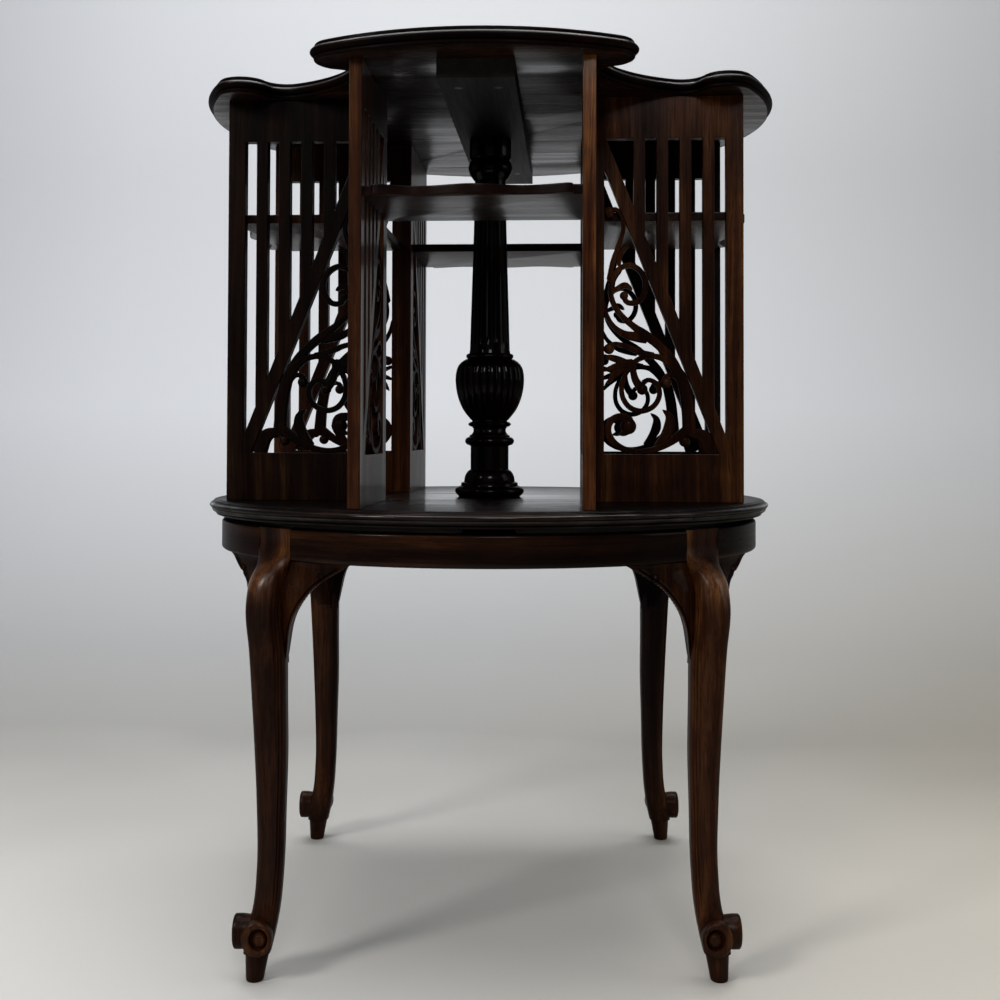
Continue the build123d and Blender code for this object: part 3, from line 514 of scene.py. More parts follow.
# %% The leg
def leg_shells():
    """Rounded square carried up the leg: half width times the square, plus the corner's arc."""
    z = np.concatenate([np.linspace(26, 70, 40), np.linspace(71.5, 325, 90),
                        np.linspace(326.5, 417, 84)])
    lean_at = [26, 44, 64, 100, 160, 210, 257, 304, 347, 364, 384, 394, 417]
    lean = smooth(z, lean_at, [10.5, 7.6, 3.4, 0.4, -0.2, 0.3, 1.8, 3.4, 6.6, 5.4, 1.0, 0, 0])
    half = smooth(z, lean_at, [12.5, 13.5, 12.5, 12.3, 13.4, 15.0, 16.0, 17.2, 17.8, 18, 18, 18, 18])
    corner = half * (0.62 + 0.3 * bump(z, 362, 24)) * (1 - ease(z, 374, 393)) + 0.5
    rounder = np.minimum(corner, half * (0.62 + 0.36 * (1 - ease(z, 26, 50))))
    corner = np.where(z < 60, rounder, corner)
    flat = (half - corner)[:, None, None] * square + corner[:, None, None] * normal
    shape = (ease(z, 58, 74) * (1 - ease(z, 340, 366)))[:, None]
    facing, beside = flat.max(-1), flat.min(-1)
    edge = np.where(facing > half[:, None] * 0.55, beside + half[:, None], 99.0)
    quirk = (bump(edge, 3.0, 0.6) + bump(edge, 5.6, 0.6)) * shape
    strip = bump(edge, 8.6, 1.3) * shape * ease(z, 150, 300)[:, None]
    flat = flat - (0.75 * quirk + 0.7 * strip)[..., None] * normal
    across = flat[..., 0] + (LEG_OFFSET + lean)[:, None]
    along = flat[..., 1] + (LEG_OFFSET + lean)[:, None]
    reach = np.hypot(across, along)
    knee_at = [300, 330, 345, 356, 366, 373, 380, 386, 391, 397, 417]
    knee = smooth(z, knee_at, [340, 332, 328, 324, 318.5, 312, 303.5, 295, 289.5, 287, 287])[:, None]
    softness = (7.5 - 6.7 * ease(z, 380, 397))[:, None]
    over = np.logaddexp(0, (reach - knee) / softness) * softness
    trimmed = (reach - over) / reach
    points = np.stack([across * trimmed, along * trimmed, np.broadcast_to(z[:, None], reach.shape)], -1)
    shade = bump(edge, 8, 3.4) * (ease(z, 298, 310) * (1 - ease(z, 372, 386)))[:, None]
    # More gloss on the knee's swelling, and a lighter colour there: painted highlight where the lamps'
    # highlights fall.
    knee_gloss_and_painted_highlight = bump(z, 364, 16)[:, None] * ease(reach - over, 292, 308) * 1.9
    # Painted shade: darker and duller in the two quirks, in the sunk strip, and in a strip beside the
    # bracket.
    return [tube(points, knee_gloss_and_painted_highlight - 0.5 * quirk - 0.4 * strip - 0.6 * shade)]


TOE_LEVEL, TOE_ASIDE, TOE_REACH, TOE_SQUASH = 43.5, 8.2, 33.0, 0.875
RECESS_ASIDE, RECESS_FLOOR, RECESS_EDGE = 2.2, 8.6, 10.4
BUTTON_ASIDE, BUTTON_RADIUS = 3.1, 7.3


def disc_face(r, a):
    """How far a toe's disc stands out at a polar point: a rounded rim, a recess set towards the
    leg's inner side, and in the recess a domed button."""
    height, inner = r * np.cos(a), r * np.sin(a)
    rim = 2.6 * (np.sqrt(np.clip(1 - ((r - 11.2) / 4.8) ** 2, 0, 1)) - 1)
    sunk = 1 - ease(np.hypot(inner + RECESS_ASIDE, height - 0.4), RECESS_FLOOR, RECESS_EDGE)
    from_button = np.hypot(inner + BUTTON_ASIDE, height)
    button = np.sqrt(np.clip(1 - (from_button / BUTTON_RADIUS) ** 2, 0, 1))
    lip = 0.7 * bump(from_button, 5.4, 0.5)
    return rim * (1 - sunk) + sunk * (4.6 * button**0.8 - 4.2 - lip * (button > 0))


def peg_and_toes():
    """Peg: circles that lean and taper. Toe: a disc's profile turned round the face's normal."""
    z = np.array([0, 0.8, 2.2, 8, 14, 20, 26, 29])
    radius = np.array([6.9, 7.9, 8.3, 9.0, 9.7, 10.4, 11.1, 11.2])
    lean = np.interp(z, [0, 26], [12.5, 10.5])
    middle = (LEG_OFFSET + lean)[:, None, None]
    flat = radius[:, None, None] * polar(1, full_turn(48)) + middle
    points = np.concatenate([flat, np.broadcast_to(z[:, None, None], (*flat.shape[:2], 1))], -1)
    shells = [tube(points)]
    radii = np.concatenate([np.linspace(0.02, 14.4, 44),
                            [14.8, 15.2, 15.6, 15.9, 16.0, 16.0, 15.9, 15.4, 14.6]])
    r, a = np.meshgrid(radii, full_turn(112), indexing="ij")
    back = np.concatenate([np.zeros(44), [0, 0, 0, 0, -2.4, -4.5, -7, -12, -19]])[:, None]
    out = disc_face(np.minimum(r, 15.95), a) + back
    height, inner = r * np.cos(a), r * np.sin(a)
    sunk = 1 - ease(np.hypot(inner + RECESS_ASIDE, height), RECESS_FLOOR, RECESS_EDGE)
    dome = 1 - ease(np.hypot(inner + BUTTON_ASIDE, height), 4.0, BUTTON_RADIUS)
    # Painted shade: the recess round the button is darker and duller; the rim is a little lighter from wear,
    # and the button's dome lighter than the recess.
    wear_and_painted_shade = 0.15 * bump(r, 12.5, 2.2) * (1 - sunk) + sunk * (1.1 * dome - 1.0)
    level = TOE_LEVEL + height
    sideways = LEG_OFFSET + TOE_ASIDE + TOE_SQUASH * inner
    outward = LEG_OFFSET + TOE_REACH + out
    for axes in ([outward, sideways, level], [sideways, outward, level]):
        shells.append(tube(np.stack(axes, -1), wear_and_painted_shade))
    return shells


leg_names = ["back_right", "back_left", "front_left", "front_right"]
for number, place in enumerate(leg_names):
    leg = make_piece(f"dressed_leg_{place}", "stand", leg_shells() + peg_and_toes(), leg_wood,
                     [f"leg_{place}"], sharp=50.0, turn=STAND_TURN + number * pi / 2)
    print(leg.name, len(leg.data.vertices), "points")

# %% [markdown]
# ## The round apron
# Four rails close the ring between the legs. Each is a rounded rectangle carried round the ring.
# It stops against the leg's block, which is square, so the angle at which it stops is the arcsine
# of the block's side over the radius.

# %% Apron rails
rail_profile = along_line([(APRON_RADIUS - APRON_WALL, 30), (APRON_RADIUS - APRON_WALL, 0),
                           (284.4, 0), (285.6, 0.35), (286.65, 1.4), (287, 2.6), (287, 27.4),
                           (286.65, 28.6), (285.6, 29.65), (284.4, 30)], 3.0)


def rail_shell():
    """Profile (radius, height) carried round by an angle that runs from block to block."""
    radius, height = rail_profile.T
    stop = np.minimum(np.arcsin((LEG_OFFSET - LEG_BLOCK / 2) / radius), pi / 4)
    share = np.linspace(-1, 1, 121)[:, None]
    angle = share * stop
    # Lighter on the outer arris: wear. Darker and duller on the top and the inner face: painted shade, in the
    # gap under the plateau and inside the ring.
    wear_and_painted_shade = 0.4 * bump(radius, 286.2, 0.8) - 1.3 * (height > 29) - 1.3 * (radius < 284)
    return tube(polar(radius, angle, APRON_LOW + height), wear_and_painted_shade)


for number, place in enumerate(["right", "back", "left", "front"]):
    rail = make_piece(f"dressed_apron_{place}", "stand", [rail_shell()], apron_wood,
                      [f"apron_{place}"], turn=STAND_TURN + number * pi / 2)
print("rails:", 4, "with", len(rail.data.vertices), "points each")

# %% [markdown]
# ## Knee brackets
# Beside each leg a carved bracket fills the angle under the apron. It is sawn square to the leg's
# face, so that it carries the knee's own surface on, and its lower edge sweeps up from the leg to a
# fine tip. That edge is a narrow raised rim, nicked like a leaf, with a sunk line beside it and a
# small curl. Straight lines fan out from the edge to the apron and the leg, and the distance along
# such a line decides the depth of the carving.

# %% Brackets
BRACKET_TOP, BRACKET_FACE, BRACKET_BACK = APRON_LOW + 0.4, 285.0, 272.5
edge_inward = [78, 63.5, 48, 38.5, 29.5, 23.5, 19.6, 17.2, 15.4, 13.0]
edge_level = [387, 378.5, 368.5, 360, 348.5, 337.5, 326, 313, 302, 290]


def bracket_shell(side):
    """Fan from the lower edge to the apron and the leg, whose radius is a formula of the distance.
    The inward distance is measured along the leg's face, and the other coordinate completes the
    radius: the square root of the radius squared less the inward place squared."""
    count, steps = 170, 34
    q = np.linspace(0, 1, count)
    knots = np.linspace(0, 1, len(edge_inward))
    low = np.stack([smooth(q, knots, edge_inward), smooth(q, knots, edge_level)], -1)
    path = np.array([(78.5, BRACKET_TOP), (40, BRACKET_TOP), (8, BRACKET_TOP), (8, 345), (6, 290)])
    high = np.stack([np.interp(q, [0, 0.35, 0.6, 0.8, 1], path[:, axis]) for axis in (0, 1)], -1)
    length = run_length(low)
    lean = unit_rows(np.gradient(low, axis=0))
    nicks = 0.55 * np.abs(np.sin(pi * length / 3.6)) * ease(length, 3, 8) * (1 - ease(length, 60, 80))
    low = low + nicks[:, None] * np.stack([-lean[:, 1], lean[:, 0]], -1)
    gap = np.hypot(*(high - low).T)[:, None]
    v = np.linspace(0, 1, steps) ** 1.7
    flat = low[:, None] + v[None, :, None] * (high - low)[:, None]
    across, level = flat[..., 0], flat[..., 1]
    away = v[None] * gap
    narrow = ease(gap, 3, 12)
    curl = np.hypot(across - 50.0, level - 374.5)
    spiral = (bump(curl, 3.6, 0.9) - 0.8 * bump(curl, 0, 1.8)) * (curl < 7)
    groove = bump(away, 4.4, 0.9) * narrow
    rise = 6.5 * ease(46 - across, 0, 30) * (1 - ease(level, 358, 384)) * ease(level, 296, 326)
    rim = 0.6 * bump(away, 1.5, 1.6) - 1.9 * groove - 0.8 * ease(away, 4.6, 9)
    face = BRACKET_FACE + rise + narrow * rim - 1.0 * spiral
    face = face + 0.9 * bump(BRACKET_TOP - level, 0, 2.2) * ease(across, 16, 24)
    face = np.where(away < 0.15, face - 0.8, face)
    back_flat = low[:, None] + np.linspace(1, 0, 6)[None, :, None] * (high - low)[:, None]
    flat = np.concatenate([flat, back_flat], 1)
    radius = np.concatenate([face, np.full((count, 6), BRACKET_BACK)], 1)
    inward = LEG_OFFSET - flat[..., 0]
    outward = np.sqrt(radius**2 - inward**2)
    axes = [inward, outward, flat[..., 1]] if side > 0 else [outward, inward, flat[..., 1]]
    # Painted shade: darker and duller in the sunk line, the curl and on the back; the raised rim a little
    # lighter from wear.
    rim_wear_and_painted_shade = narrow * (0.5 * bump(away, 1.5, 1.4) - 0.9 * groove) - 0.6 * spiral
    rim_wear_and_painted_shade = np.concatenate([rim_wear_and_painted_shade, np.full((count, 6), -0.5)], 1)
    return tube(np.stack(axes, -1), rim_wear_and_painted_shade)


for number, place in enumerate(leg_names):
    for side, hand in ((1, "left"), (-1, "right")):
        bracket = make_piece(f"carved_bracket_{place}_{hand}", "stand", [bracket_shell(side)],
                             bracket_wood_in_painted_shade, [f"knee_bracket_{place}_{hand}"],
                             turn=STAND_TURN + number * pi / 2, sharp=30.0)
print("brackets: 8 with", len(bracket.data.vertices), "points each")

# %% [markdown]
# ## The plateau
# The bookcase stands on a round board whose edge was run on a lathe: a small step at the top, a
# bold round, a quirk, a second smaller round and a bead under it. Turned work is a profile that
# goes round an axis, and close points in the profile keep each quirk crisp.


# %% Turned pieces
def turned_shell(profile, count, rubbed=0.0, shape=None):
    """Profile of (radius, level) turned round the upright axis, ends closed. shape(r, z, angle)
    may change the radius round the turning, as flutes do."""
    r, z = np.asarray(profile, float).T[..., None]
    angle = full_turn(count)
    if shape is not None:
        r = shape(r, z, angle)
    return tube(polar(r, angle, z), np.reshape(rubbed, (-1, 1)))


def quarter(start, end, bulge, steps=6):
    """Points of a shallow arc from start to end, swollen sideways by a bulge at its middle."""
    start, end = np.asarray(start, float), np.asarray(end, float)
    t = np.linspace(0, 1, steps)[:, None]
    chord = end - start
    side = np.array([chord[1], -chord[0]]) / np.hypot(*chord)
    return start + t * chord + 4 * t * (1 - t) * bulge * side


plateau_edge = np.concatenate([
    [(0.05, PLATEAU_LOW + 0.15), (289.5, PLATEAU_LOW + 0.15)],
    quarter((291.2, 422.3), (293.4, 424.5), 0.9),
    [(293.0, 424.9)],
    quarter((293.6, 425.1), (298.0, 429.4), 1.25, 9),
    [(297.6, 429.8), (297.6, 430.1)],
    quarter((298.6, 430.2), (298.4, 434.6), 1.5, 11),
    [(297.0, 434.9), (296.6, 435.3)],
    quarter((296.4, 435.5), (293.6, 437.5), 0.6, 7),
    [(292.0, 437.6), (291.6, 438.0), (0.05, PLATEAU_TOP)],
])
# Lighter, glossier lines on the crests of the two rounds: painted highlight lines. The rest of the moulded
# edge is darker and duller, fading across the top face towards the centre.
crest_gloss_and_painted_highlight = 2.1 * bump(plateau_edge[:, 1], 433.8, 0.9) + 1.4 * bump(plateau_edge[:, 1], 428.8, 0.7)
plateau_wear_and_painted_light = np.where(plateau_edge[:, 0] > 290, crest_gloss_and_painted_highlight - 2.3, 0)
# Painted shade: the underside, over the gap above the apron, is darker and duller.
plateau_wear_and_painted_light[:2] = -2.9
plateau = make_piece("dressed_plateau", "bookcase", [turned_shell(plateau_edge, 384, plateau_wear_and_painted_light)],
                     plateau_wood, ["plateau"], sharp=32.0)
print("plateau:", len(plateau.data.vertices), "points")

# %% [markdown]
# ## The fluted column
# In the middle a column was turned, and then fluted by hand. It rises from a torus and a cove
# through a drum, two rings and a vase to a long tapering shaft. The vase is reeded all round and
# the shaft is fluted, so their radius changes with the angle: a flute is a shallow scoop, which is
# the profile's radius less a power of the cosine of the angle times the number of flutes.

# %% Column
column_line = np.concatenate([
    [(0.05, 466.0), (20.8, 466.0), (20.8, 493.2), (22.4, 494.2)],
    quarter((24.6, 494.8), (24.8, 502.6), 2.2, 9),
    [(22.2, 503.2), (22.2, 504.8), (19.6, 506.4), (17.9, 509.0), (17.8, 512.2), (19.4, 514.4)],
    quarter((21.2, 514.8), (21.2, 519.6), 2.3, 7),
    [(19.2, 520.2), (19.4, 521.6)],
])
vase_z = np.linspace(522.2, 588.6, 44)
vase = np.stack([smooth(vase_z, [521.3, 533.2, 541, 549.8, 558, 567.6, 575, 580.7, 586.6, 589.6],
                        [20.0, 29.2, 32.9, 35.7, 37.2, 37.7, 36.9, 35.0, 29.6, 24.4]), vase_z], -1)
collar = [(23.6, 589.2), (25.2, 589.8), (25.9, 591.0), (25.9, 593.0), (25.0, 594.2),
          (22.6, 594.6), (22.2, 597.0)]
shaft_z = np.linspace(598.5, 783.0, 60)
shaft = np.stack([np.interp(shaft_z, [598, 653, 730, 785], [21.9, 20.3, 18.0, 17.0]), shaft_z], -1)
head = np.concatenate([
    [(17.0, 785.0), (19.5, 788.0), (21.0, 790.4)],
    quarter((21.6, 791.2), (21.6, 807.4), 2.6, 13),
    [(21.2, 808.4), (22.6, 809.6), (23.0, 811.0), (23.0, BATTEN_LOW), (0.05, BATTEN_LOW)],
])
column_line = np.concatenate([column_line, vase, collar, shaft, head])


def fluted(r, z, angle):
    """Radius with 22 reeds on the vase and 16 scooped flutes on the shaft, which fade at both ends."""
    reeds = 1.5 * (1 - np.abs(np.cos(11 * angle)) ** 0.8) * ease(z, 527, 540) * (1 - ease(z, 577, 586))
    scoops = np.clip(np.cos(16 * angle), 0, 1) ** 0.7 * 1.5 * ease(z, 601, 612) * (1 - ease(z, 768, 779))
    return r - np.where(z < 590, reeds * r / 37.7, scoops)


column = make_piece("fluted_column", "bookcase", [turned_shell(column_line, 352, shape=fluted)],
                    column_wood, ["column"], sharp=34.0)
base_line = np.concatenate([
    [(17.0, PLATEAU_TOP), (33.2, PLATEAU_TOP), (34.2, 438.8)],
    quarter((34.8, 439.4), (33.6, 449.2), 3.6, 15),
    [(31.4, 449.9), (31.0, 451.0), (31.0, 453.2), (28.4, 454.0), (27.6, 455.0)],
    quarter((27.6, 456.0), (24.2, 465.2), 0.8, 9),
    [(23.2, 466.3), (21.2, 467.4), (20.9, 468.0), (17.0, 468.0)],
])
make_piece("turned_base", "bookcase", [turned_shell(base_line, 192)], column_wood,
           ["column_base"], sharp=34.0)
print("column:", len(column.data.vertices), "points")

# %% [markdown]
# ## Boards with shaped edges
# The top and the shelves are boards whose edge was moulded along a curved outline. A list of
# (how far in from the outline, level) is carried round: each ring is the outline moved in along
# its own normals. The last rings at the bottom and the top are closed by flat faces.


# %% Edge profile round an outline
def inwards(outline, distance):
    """The outline moved in by a distance, along the normals of a closed line that runs left about."""
    ahead = unit_rows(np.roll(outline, -1, 0) - outline)
    behind = unit_rows(outline - np.roll(outline, 1, 0))
    mean = unit_rows(ahead + behind)
    lengthen = 1 / np.clip(np.sum(mean * ahead, -1), 0.6, 1)
    return outline + distance * lengthen[:, None] * np.stack([-mean[:, 1], mean[:, 0]], -1)


def board_shells(outline, profile, edge_wear_and_painted_light=0.0):
    """Rings of the moved-in outline, the bottom ring first, closed by a flat underside and top."""
    count = len(outline)
    rings = np.stack([np.column_stack([inwards(outline, d), np.full(count, z)])
                      for d, z in profile])
    ring_wear_and_painted_light = np.broadcast_to(np.reshape(edge_wear_and_painted_light, (-1, 1)), rings.shape[:2])
    faces = [grid_faces(len(rings), count, False, True),
             ((len(rings) - 1) * count + np.arange(count))[None],
             np.arange(count)[None, ::-1]]
    return [shell(rings, faces, ring_wear_and_painted_light)]


print("edge helpers are ready")

# %% [markdown]
# ## The four-lobed top
# The top's outline is all arcs: a wide arc over each bay, a tight shoulder at both its ends, and a
# cove over each corner, flowing into each other without a break. The arcs are found from their
# centres: where two arcs touch, both centres and the touching point lie on one line.

# %% Outline of the top
LOBE_REACH, LOBE_RADIUS, SHOULDER, BEND, COVE, COVE_DEPTH = 305.5, 286.0, 29.5, 17.0, 129.0, 213.0
lobe = np.array([LOBE_REACH - LOBE_RADIUS, 0.0])
cove = np.array([1.0, 1.0]) * (COVE_DEPTH + COVE) / sqrt(2)
join_angle = radians(248.5)
join = cove + COVE * np.array([cos(join_angle), sin(join_angle)])
bend = join + BEND * (cove - join) / np.hypot(*(cove - join))
gap = np.hypot(*(bend - lobe))
reach_a, reach_b = LOBE_RADIUS - SHOULDER, BEND + SHOULDER
share = (gap**2 + reach_a**2 - reach_b**2) / (2 * gap)
unit = (bend - lobe) / gap
shoulder = lobe + share * unit + sqrt(reach_a**2 - share**2) * np.array([unit[1], -unit[0]])


def arc(centre, radius, start, end, step=1.6):
    """Points of an arc from a start point to an end point, the short way round, end left out."""
    first, last = np.arctan2(*(start - centre)[::-1]), np.arctan2(*(end - centre)[::-1])
    swing = (last - first + pi) % (2 * pi) - pi
    angle = first + swing * np.linspace(0, 1, max(3, int(abs(swing) * radius / step)))[:-1]
    return centre + polar(radius, angle)


QUARTER_TURN = np.array([[0, 1], [-1, 0]])
flip = np.array([1.0, -1.0])
touch_lobe = lobe + LOBE_RADIUS * (shoulder - lobe) / np.hypot(*(shoulder - lobe))
touch_bend = shoulder + SHOULDER * (bend - shoulder) / np.hypot(*(bend - shoulder))
next_join = join[::-1]
quarter_line = np.concatenate([
    arc(shoulder * flip, SHOULDER, touch_bend * flip, touch_lobe * flip, 0.8),
    arc(lobe, LOBE_RADIUS, touch_lobe * flip, touch_lobe),
    arc(shoulder, SHOULDER, touch_lobe, touch_bend, 0.8),
    arc(bend, BEND, touch_bend, join, 1.0),
    arc(cove, COVE, join, next_join),
    arc(bend[::-1], BEND, next_join, (touch_bend * flip) @ QUARTER_TURN, 1.0),
])
quarters = [quarter_line]
for number in range(3):
    quarters.append(quarters[-1] @ QUARTER_TURN)
top_outline = np.concatenate(quarters)
print("top outline:", len(top_outline), "points, shoulder at", np.round(shoulder, 1))

# %% Top board
top_profile = np.concatenate([
    [(6.4, 0.0)],
    quarter((6.0, 0.2), (4.4, 3.9), -1.2, 8),
    [(5.3, 4.2), (5.4, 4.6)],
    quarter((3.4, 4.8), (3.0, 12.0), -2.9, 17),
    [(4.5, 12.3), (4.8, 12.8)],
    quarter((4.6, 13.0), (7.4, 16.4), -1.2, 9),
    [(9.0, 16.6), (9.4, TOP_THICKNESS)],
])
top_profile[:, 1] += TOP_LOW
# Painted highlight: a lighter, glossier line along the bold round; the rest of the edge and the top face are
# darker and duller.
top_wear_and_painted_light = 1.6 * bump(top_profile[:, 1] - TOP_LOW, 10.6, 1.2) - 2.0
top_wear_and_painted_light[:2] = 0
top_board = make_piece("moulded_top", "bookcase", board_shells(top_outline, top_profile, top_wear_and_painted_light),
                       top_wood, ["top"], sharp=32.0)
print("top:", len(top_board.data.vertices), "points")

# %% [markdown]
# ## Shelves
# Each bay has one thin shelf, housed in grooves in the panels beside it. Its front edge is a
# serpentine: it steps out beyond the panels, then swings in, out and in again. The edge is only
# softened, so its profile is short.

# %% Shelf outline
NOSE, NOSE_HALF, WAVE = 267.0, 91.8, 11.0
CREST, TROUGH = 0.94, 0.56  # shares of the nose's half width where the edge swings out and in
SHELF_ROOT, SHELF_STEP, HOUSING = 112.0, 259.0, BAY_HALF + 3
wave_y = np.linspace(-CREST * NOSE_HALF, CREST * NOSE_HALF, 121)
wave_x = smooth(wave_y / NOSE_HALF, [-CREST, -TROUGH, 0.0, TROUGH, CREST],
                [NOSE, NOSE - WAVE, NOSE, NOSE - WAVE, NOSE])
ends = np.linspace(0, pi / 2, 9)[1:-1]
corner_x, corner_y = NOSE - 4.0, CREST * NOSE_HALF
round_off = np.stack([corner_x + 4.0 * np.cos(ends), corner_y + 5.5 * np.sin(ends)], -1)
front_edge = np.concatenate([
    [(SHELF_ROOT, -HOUSING), (SHELF_STEP, -HOUSING), (SHELF_STEP, -NOSE_HALF)],
    round_off[::-1] * flip,
    np.stack([wave_x, wave_y], -1),
    round_off,
    [(SHELF_STEP, NOSE_HALF), (SHELF_STEP, HOUSING), (SHELF_ROOT, HOUSING)],
])
shelf_outline = along_line(np.concatenate([front_edge, front_edge[:1]]), 6.0)[:-1]
shelf_profile = np.array([(0.6, 0.0), (0.18, 0.18), (0.0, 0.8), (0.0, 1.1),
                          (0.0, 7.7), (0.0, 8.0), (0.25, 8.7), (1.0, 9.0)]) + [0, SHELF_LOW]
shelf_rub = [0.0, -0.8, -1.4, -1.4, -1.4, -1.0, -0.5, 0.0]
shelf_board = board_shells(shelf_outline, shelf_profile, shelf_rub)
rows = {"right": 0, "back": 1, "left": 2, "front": 3}
for row, quarters_round in rows.items():
    wood = shelf_wood if row in ("front", "back") else side_shelf_wood
    shelf = make_piece(f"serpentine_shelf_{row}", "bookcase", shelf_board, wood,
                       [f"shelf_{row}"], turn=quarters_round * pi / 2)
print("shelves: 4 with", len(shelf.data.vertices), "points each")

# %% [markdown]
# ## Pierced panels
# Each panel was sawn from one board with upright grain: two stiles, two rails, four slats, and a
# brace that slants across them. The board's face is drawn as a few flat shapes that share their
# corners, its edges are walled all round, and a Bevel modifier then takes the sharpness off every
# sawn edge. The corner where two bays meet is mitred: there the edge leans by the board's
# thickness.

# %% Panel board
STILE_IN, STILE_OUT, RAIL_LOW, RAIL_HIGH = 22.6, 17.6, 48.6, 42.6
LEFT, RIGHT = BAY_HALF + STILE_IN, PANEL_END - STILE_OUT
WINDOW_TOP = PANEL_HEIGHT - RAIL_HIGH
SLAT, BRACE = 11.6, 13.4
SLOPE = (RIGHT - LEFT) / (WINDOW_TOP - BRACE - RAIL_LOW)
BRACE_HALF = BRACE / 2 * sqrt(1 + SLOPE**2)
brace_high_x = LEFT + BRACE_HALF - BRACE * SLOPE
corners = [
    (BAY_HALF, 0), (LEFT, 0), (RIGHT, 0), (PANEL_END, 0),
    (BAY_HALF, PANEL_HEIGHT), (LEFT, PANEL_HEIGHT), (RIGHT, PANEL_HEIGHT), (PANEL_END, PANEL_HEIGHT),
    (LEFT, RAIL_LOW), (RIGHT - BRACE_HALF, RAIL_LOW), (RIGHT, RAIL_LOW),
    (RIGHT, RAIL_LOW + BRACE_HALF / SLOPE), (LEFT, WINDOW_TOP - BRACE - BRACE_HALF / SLOPE),
    (LEFT, WINDOW_TOP), (brace_high_x, WINDOW_TOP), (RIGHT, WINDOW_TOP),
]
slat_feet, slat_heads, slat_faces = [], [], []
for number in range(4):
    right = RIGHT - SLAT - number * 2 * SLAT
    left = right - SLAT
    first = len(corners)
    for x in (left, right):
        corners.append((x, RAIL_LOW + (RIGHT + BRACE_HALF - x) / SLOPE))
    corners += [(right, WINDOW_TOP), (left, WINDOW_TOP)]
    slat_faces.append([first, first + 1, first + 2, first + 3])
    slat_feet += [first + 1, first]
    slat_heads = [first + 3, first + 2] + slat_heads
flat_faces = [
    [0, 1, 8, 12, 13, 5, 4],
    [1, 2, 10, 9, 8],
    [2, 3, 7, 6, 15, 11, 10],
    [13, 14] + slat_heads + [15, 6, 5],
    [12, 9, 10, 11] + slat_feet + [14, 13],
] + slat_faces
corners = np.array(corners, float)
print("panel corners:", len(corners), "flat shapes:", len(flat_faces))


def panel_board_shell():
    """Two copies of the flat shapes, a board's thickness apart, and walls along the open edges."""
    count = len(corners)
    lean = (corners[:, 0] < BAY_HALF + 0.01).astype(float)
    near = np.stack([corners[:, 0] + lean * BOARD, np.zeros(count), corners[:, 1]], -1)
    far = np.stack([corners[:, 0], np.full(count, BOARD), corners[:, 1]], -1)
    edges = np.array([(a, b) for face in flat_faces for a, b in zip(face, face[1:] + face[:1])])
    shared = {(b, a) for a, b in edges.tolist()}
    open_edges = np.array([edge for edge in edges.tolist() if tuple(edge) not in shared])
    walls = np.stack([open_edges[:, 1], open_edges[:, 0], open_edges[:, 0] + count,
                      open_edges[:, 1] + count], -1)
    faces = [np.array([face]) for face in flat_faces]
    faces += [np.array([face])[:, ::-1] + count for face in flat_faces]
    rubbed = 0.6 * (corners[:, 0] > PANEL_END - 0.01)
    return shell(np.concatenate([near, far]), faces + [walls], np.tile(rubbed, 2))


# %% [markdown]
# ## Scrollwork
# In the corner under the brace grows a scroll of stems, leaves and berries, sawn out and then
# rounded over with carving tools. Each stem is a middle line that swells and narrows, and a
# pillow-shaped section carried along it. The berries where stems end are flattened balls. Points
# are (out from the axis, up from the panel's foot, half the width) in millimetres.

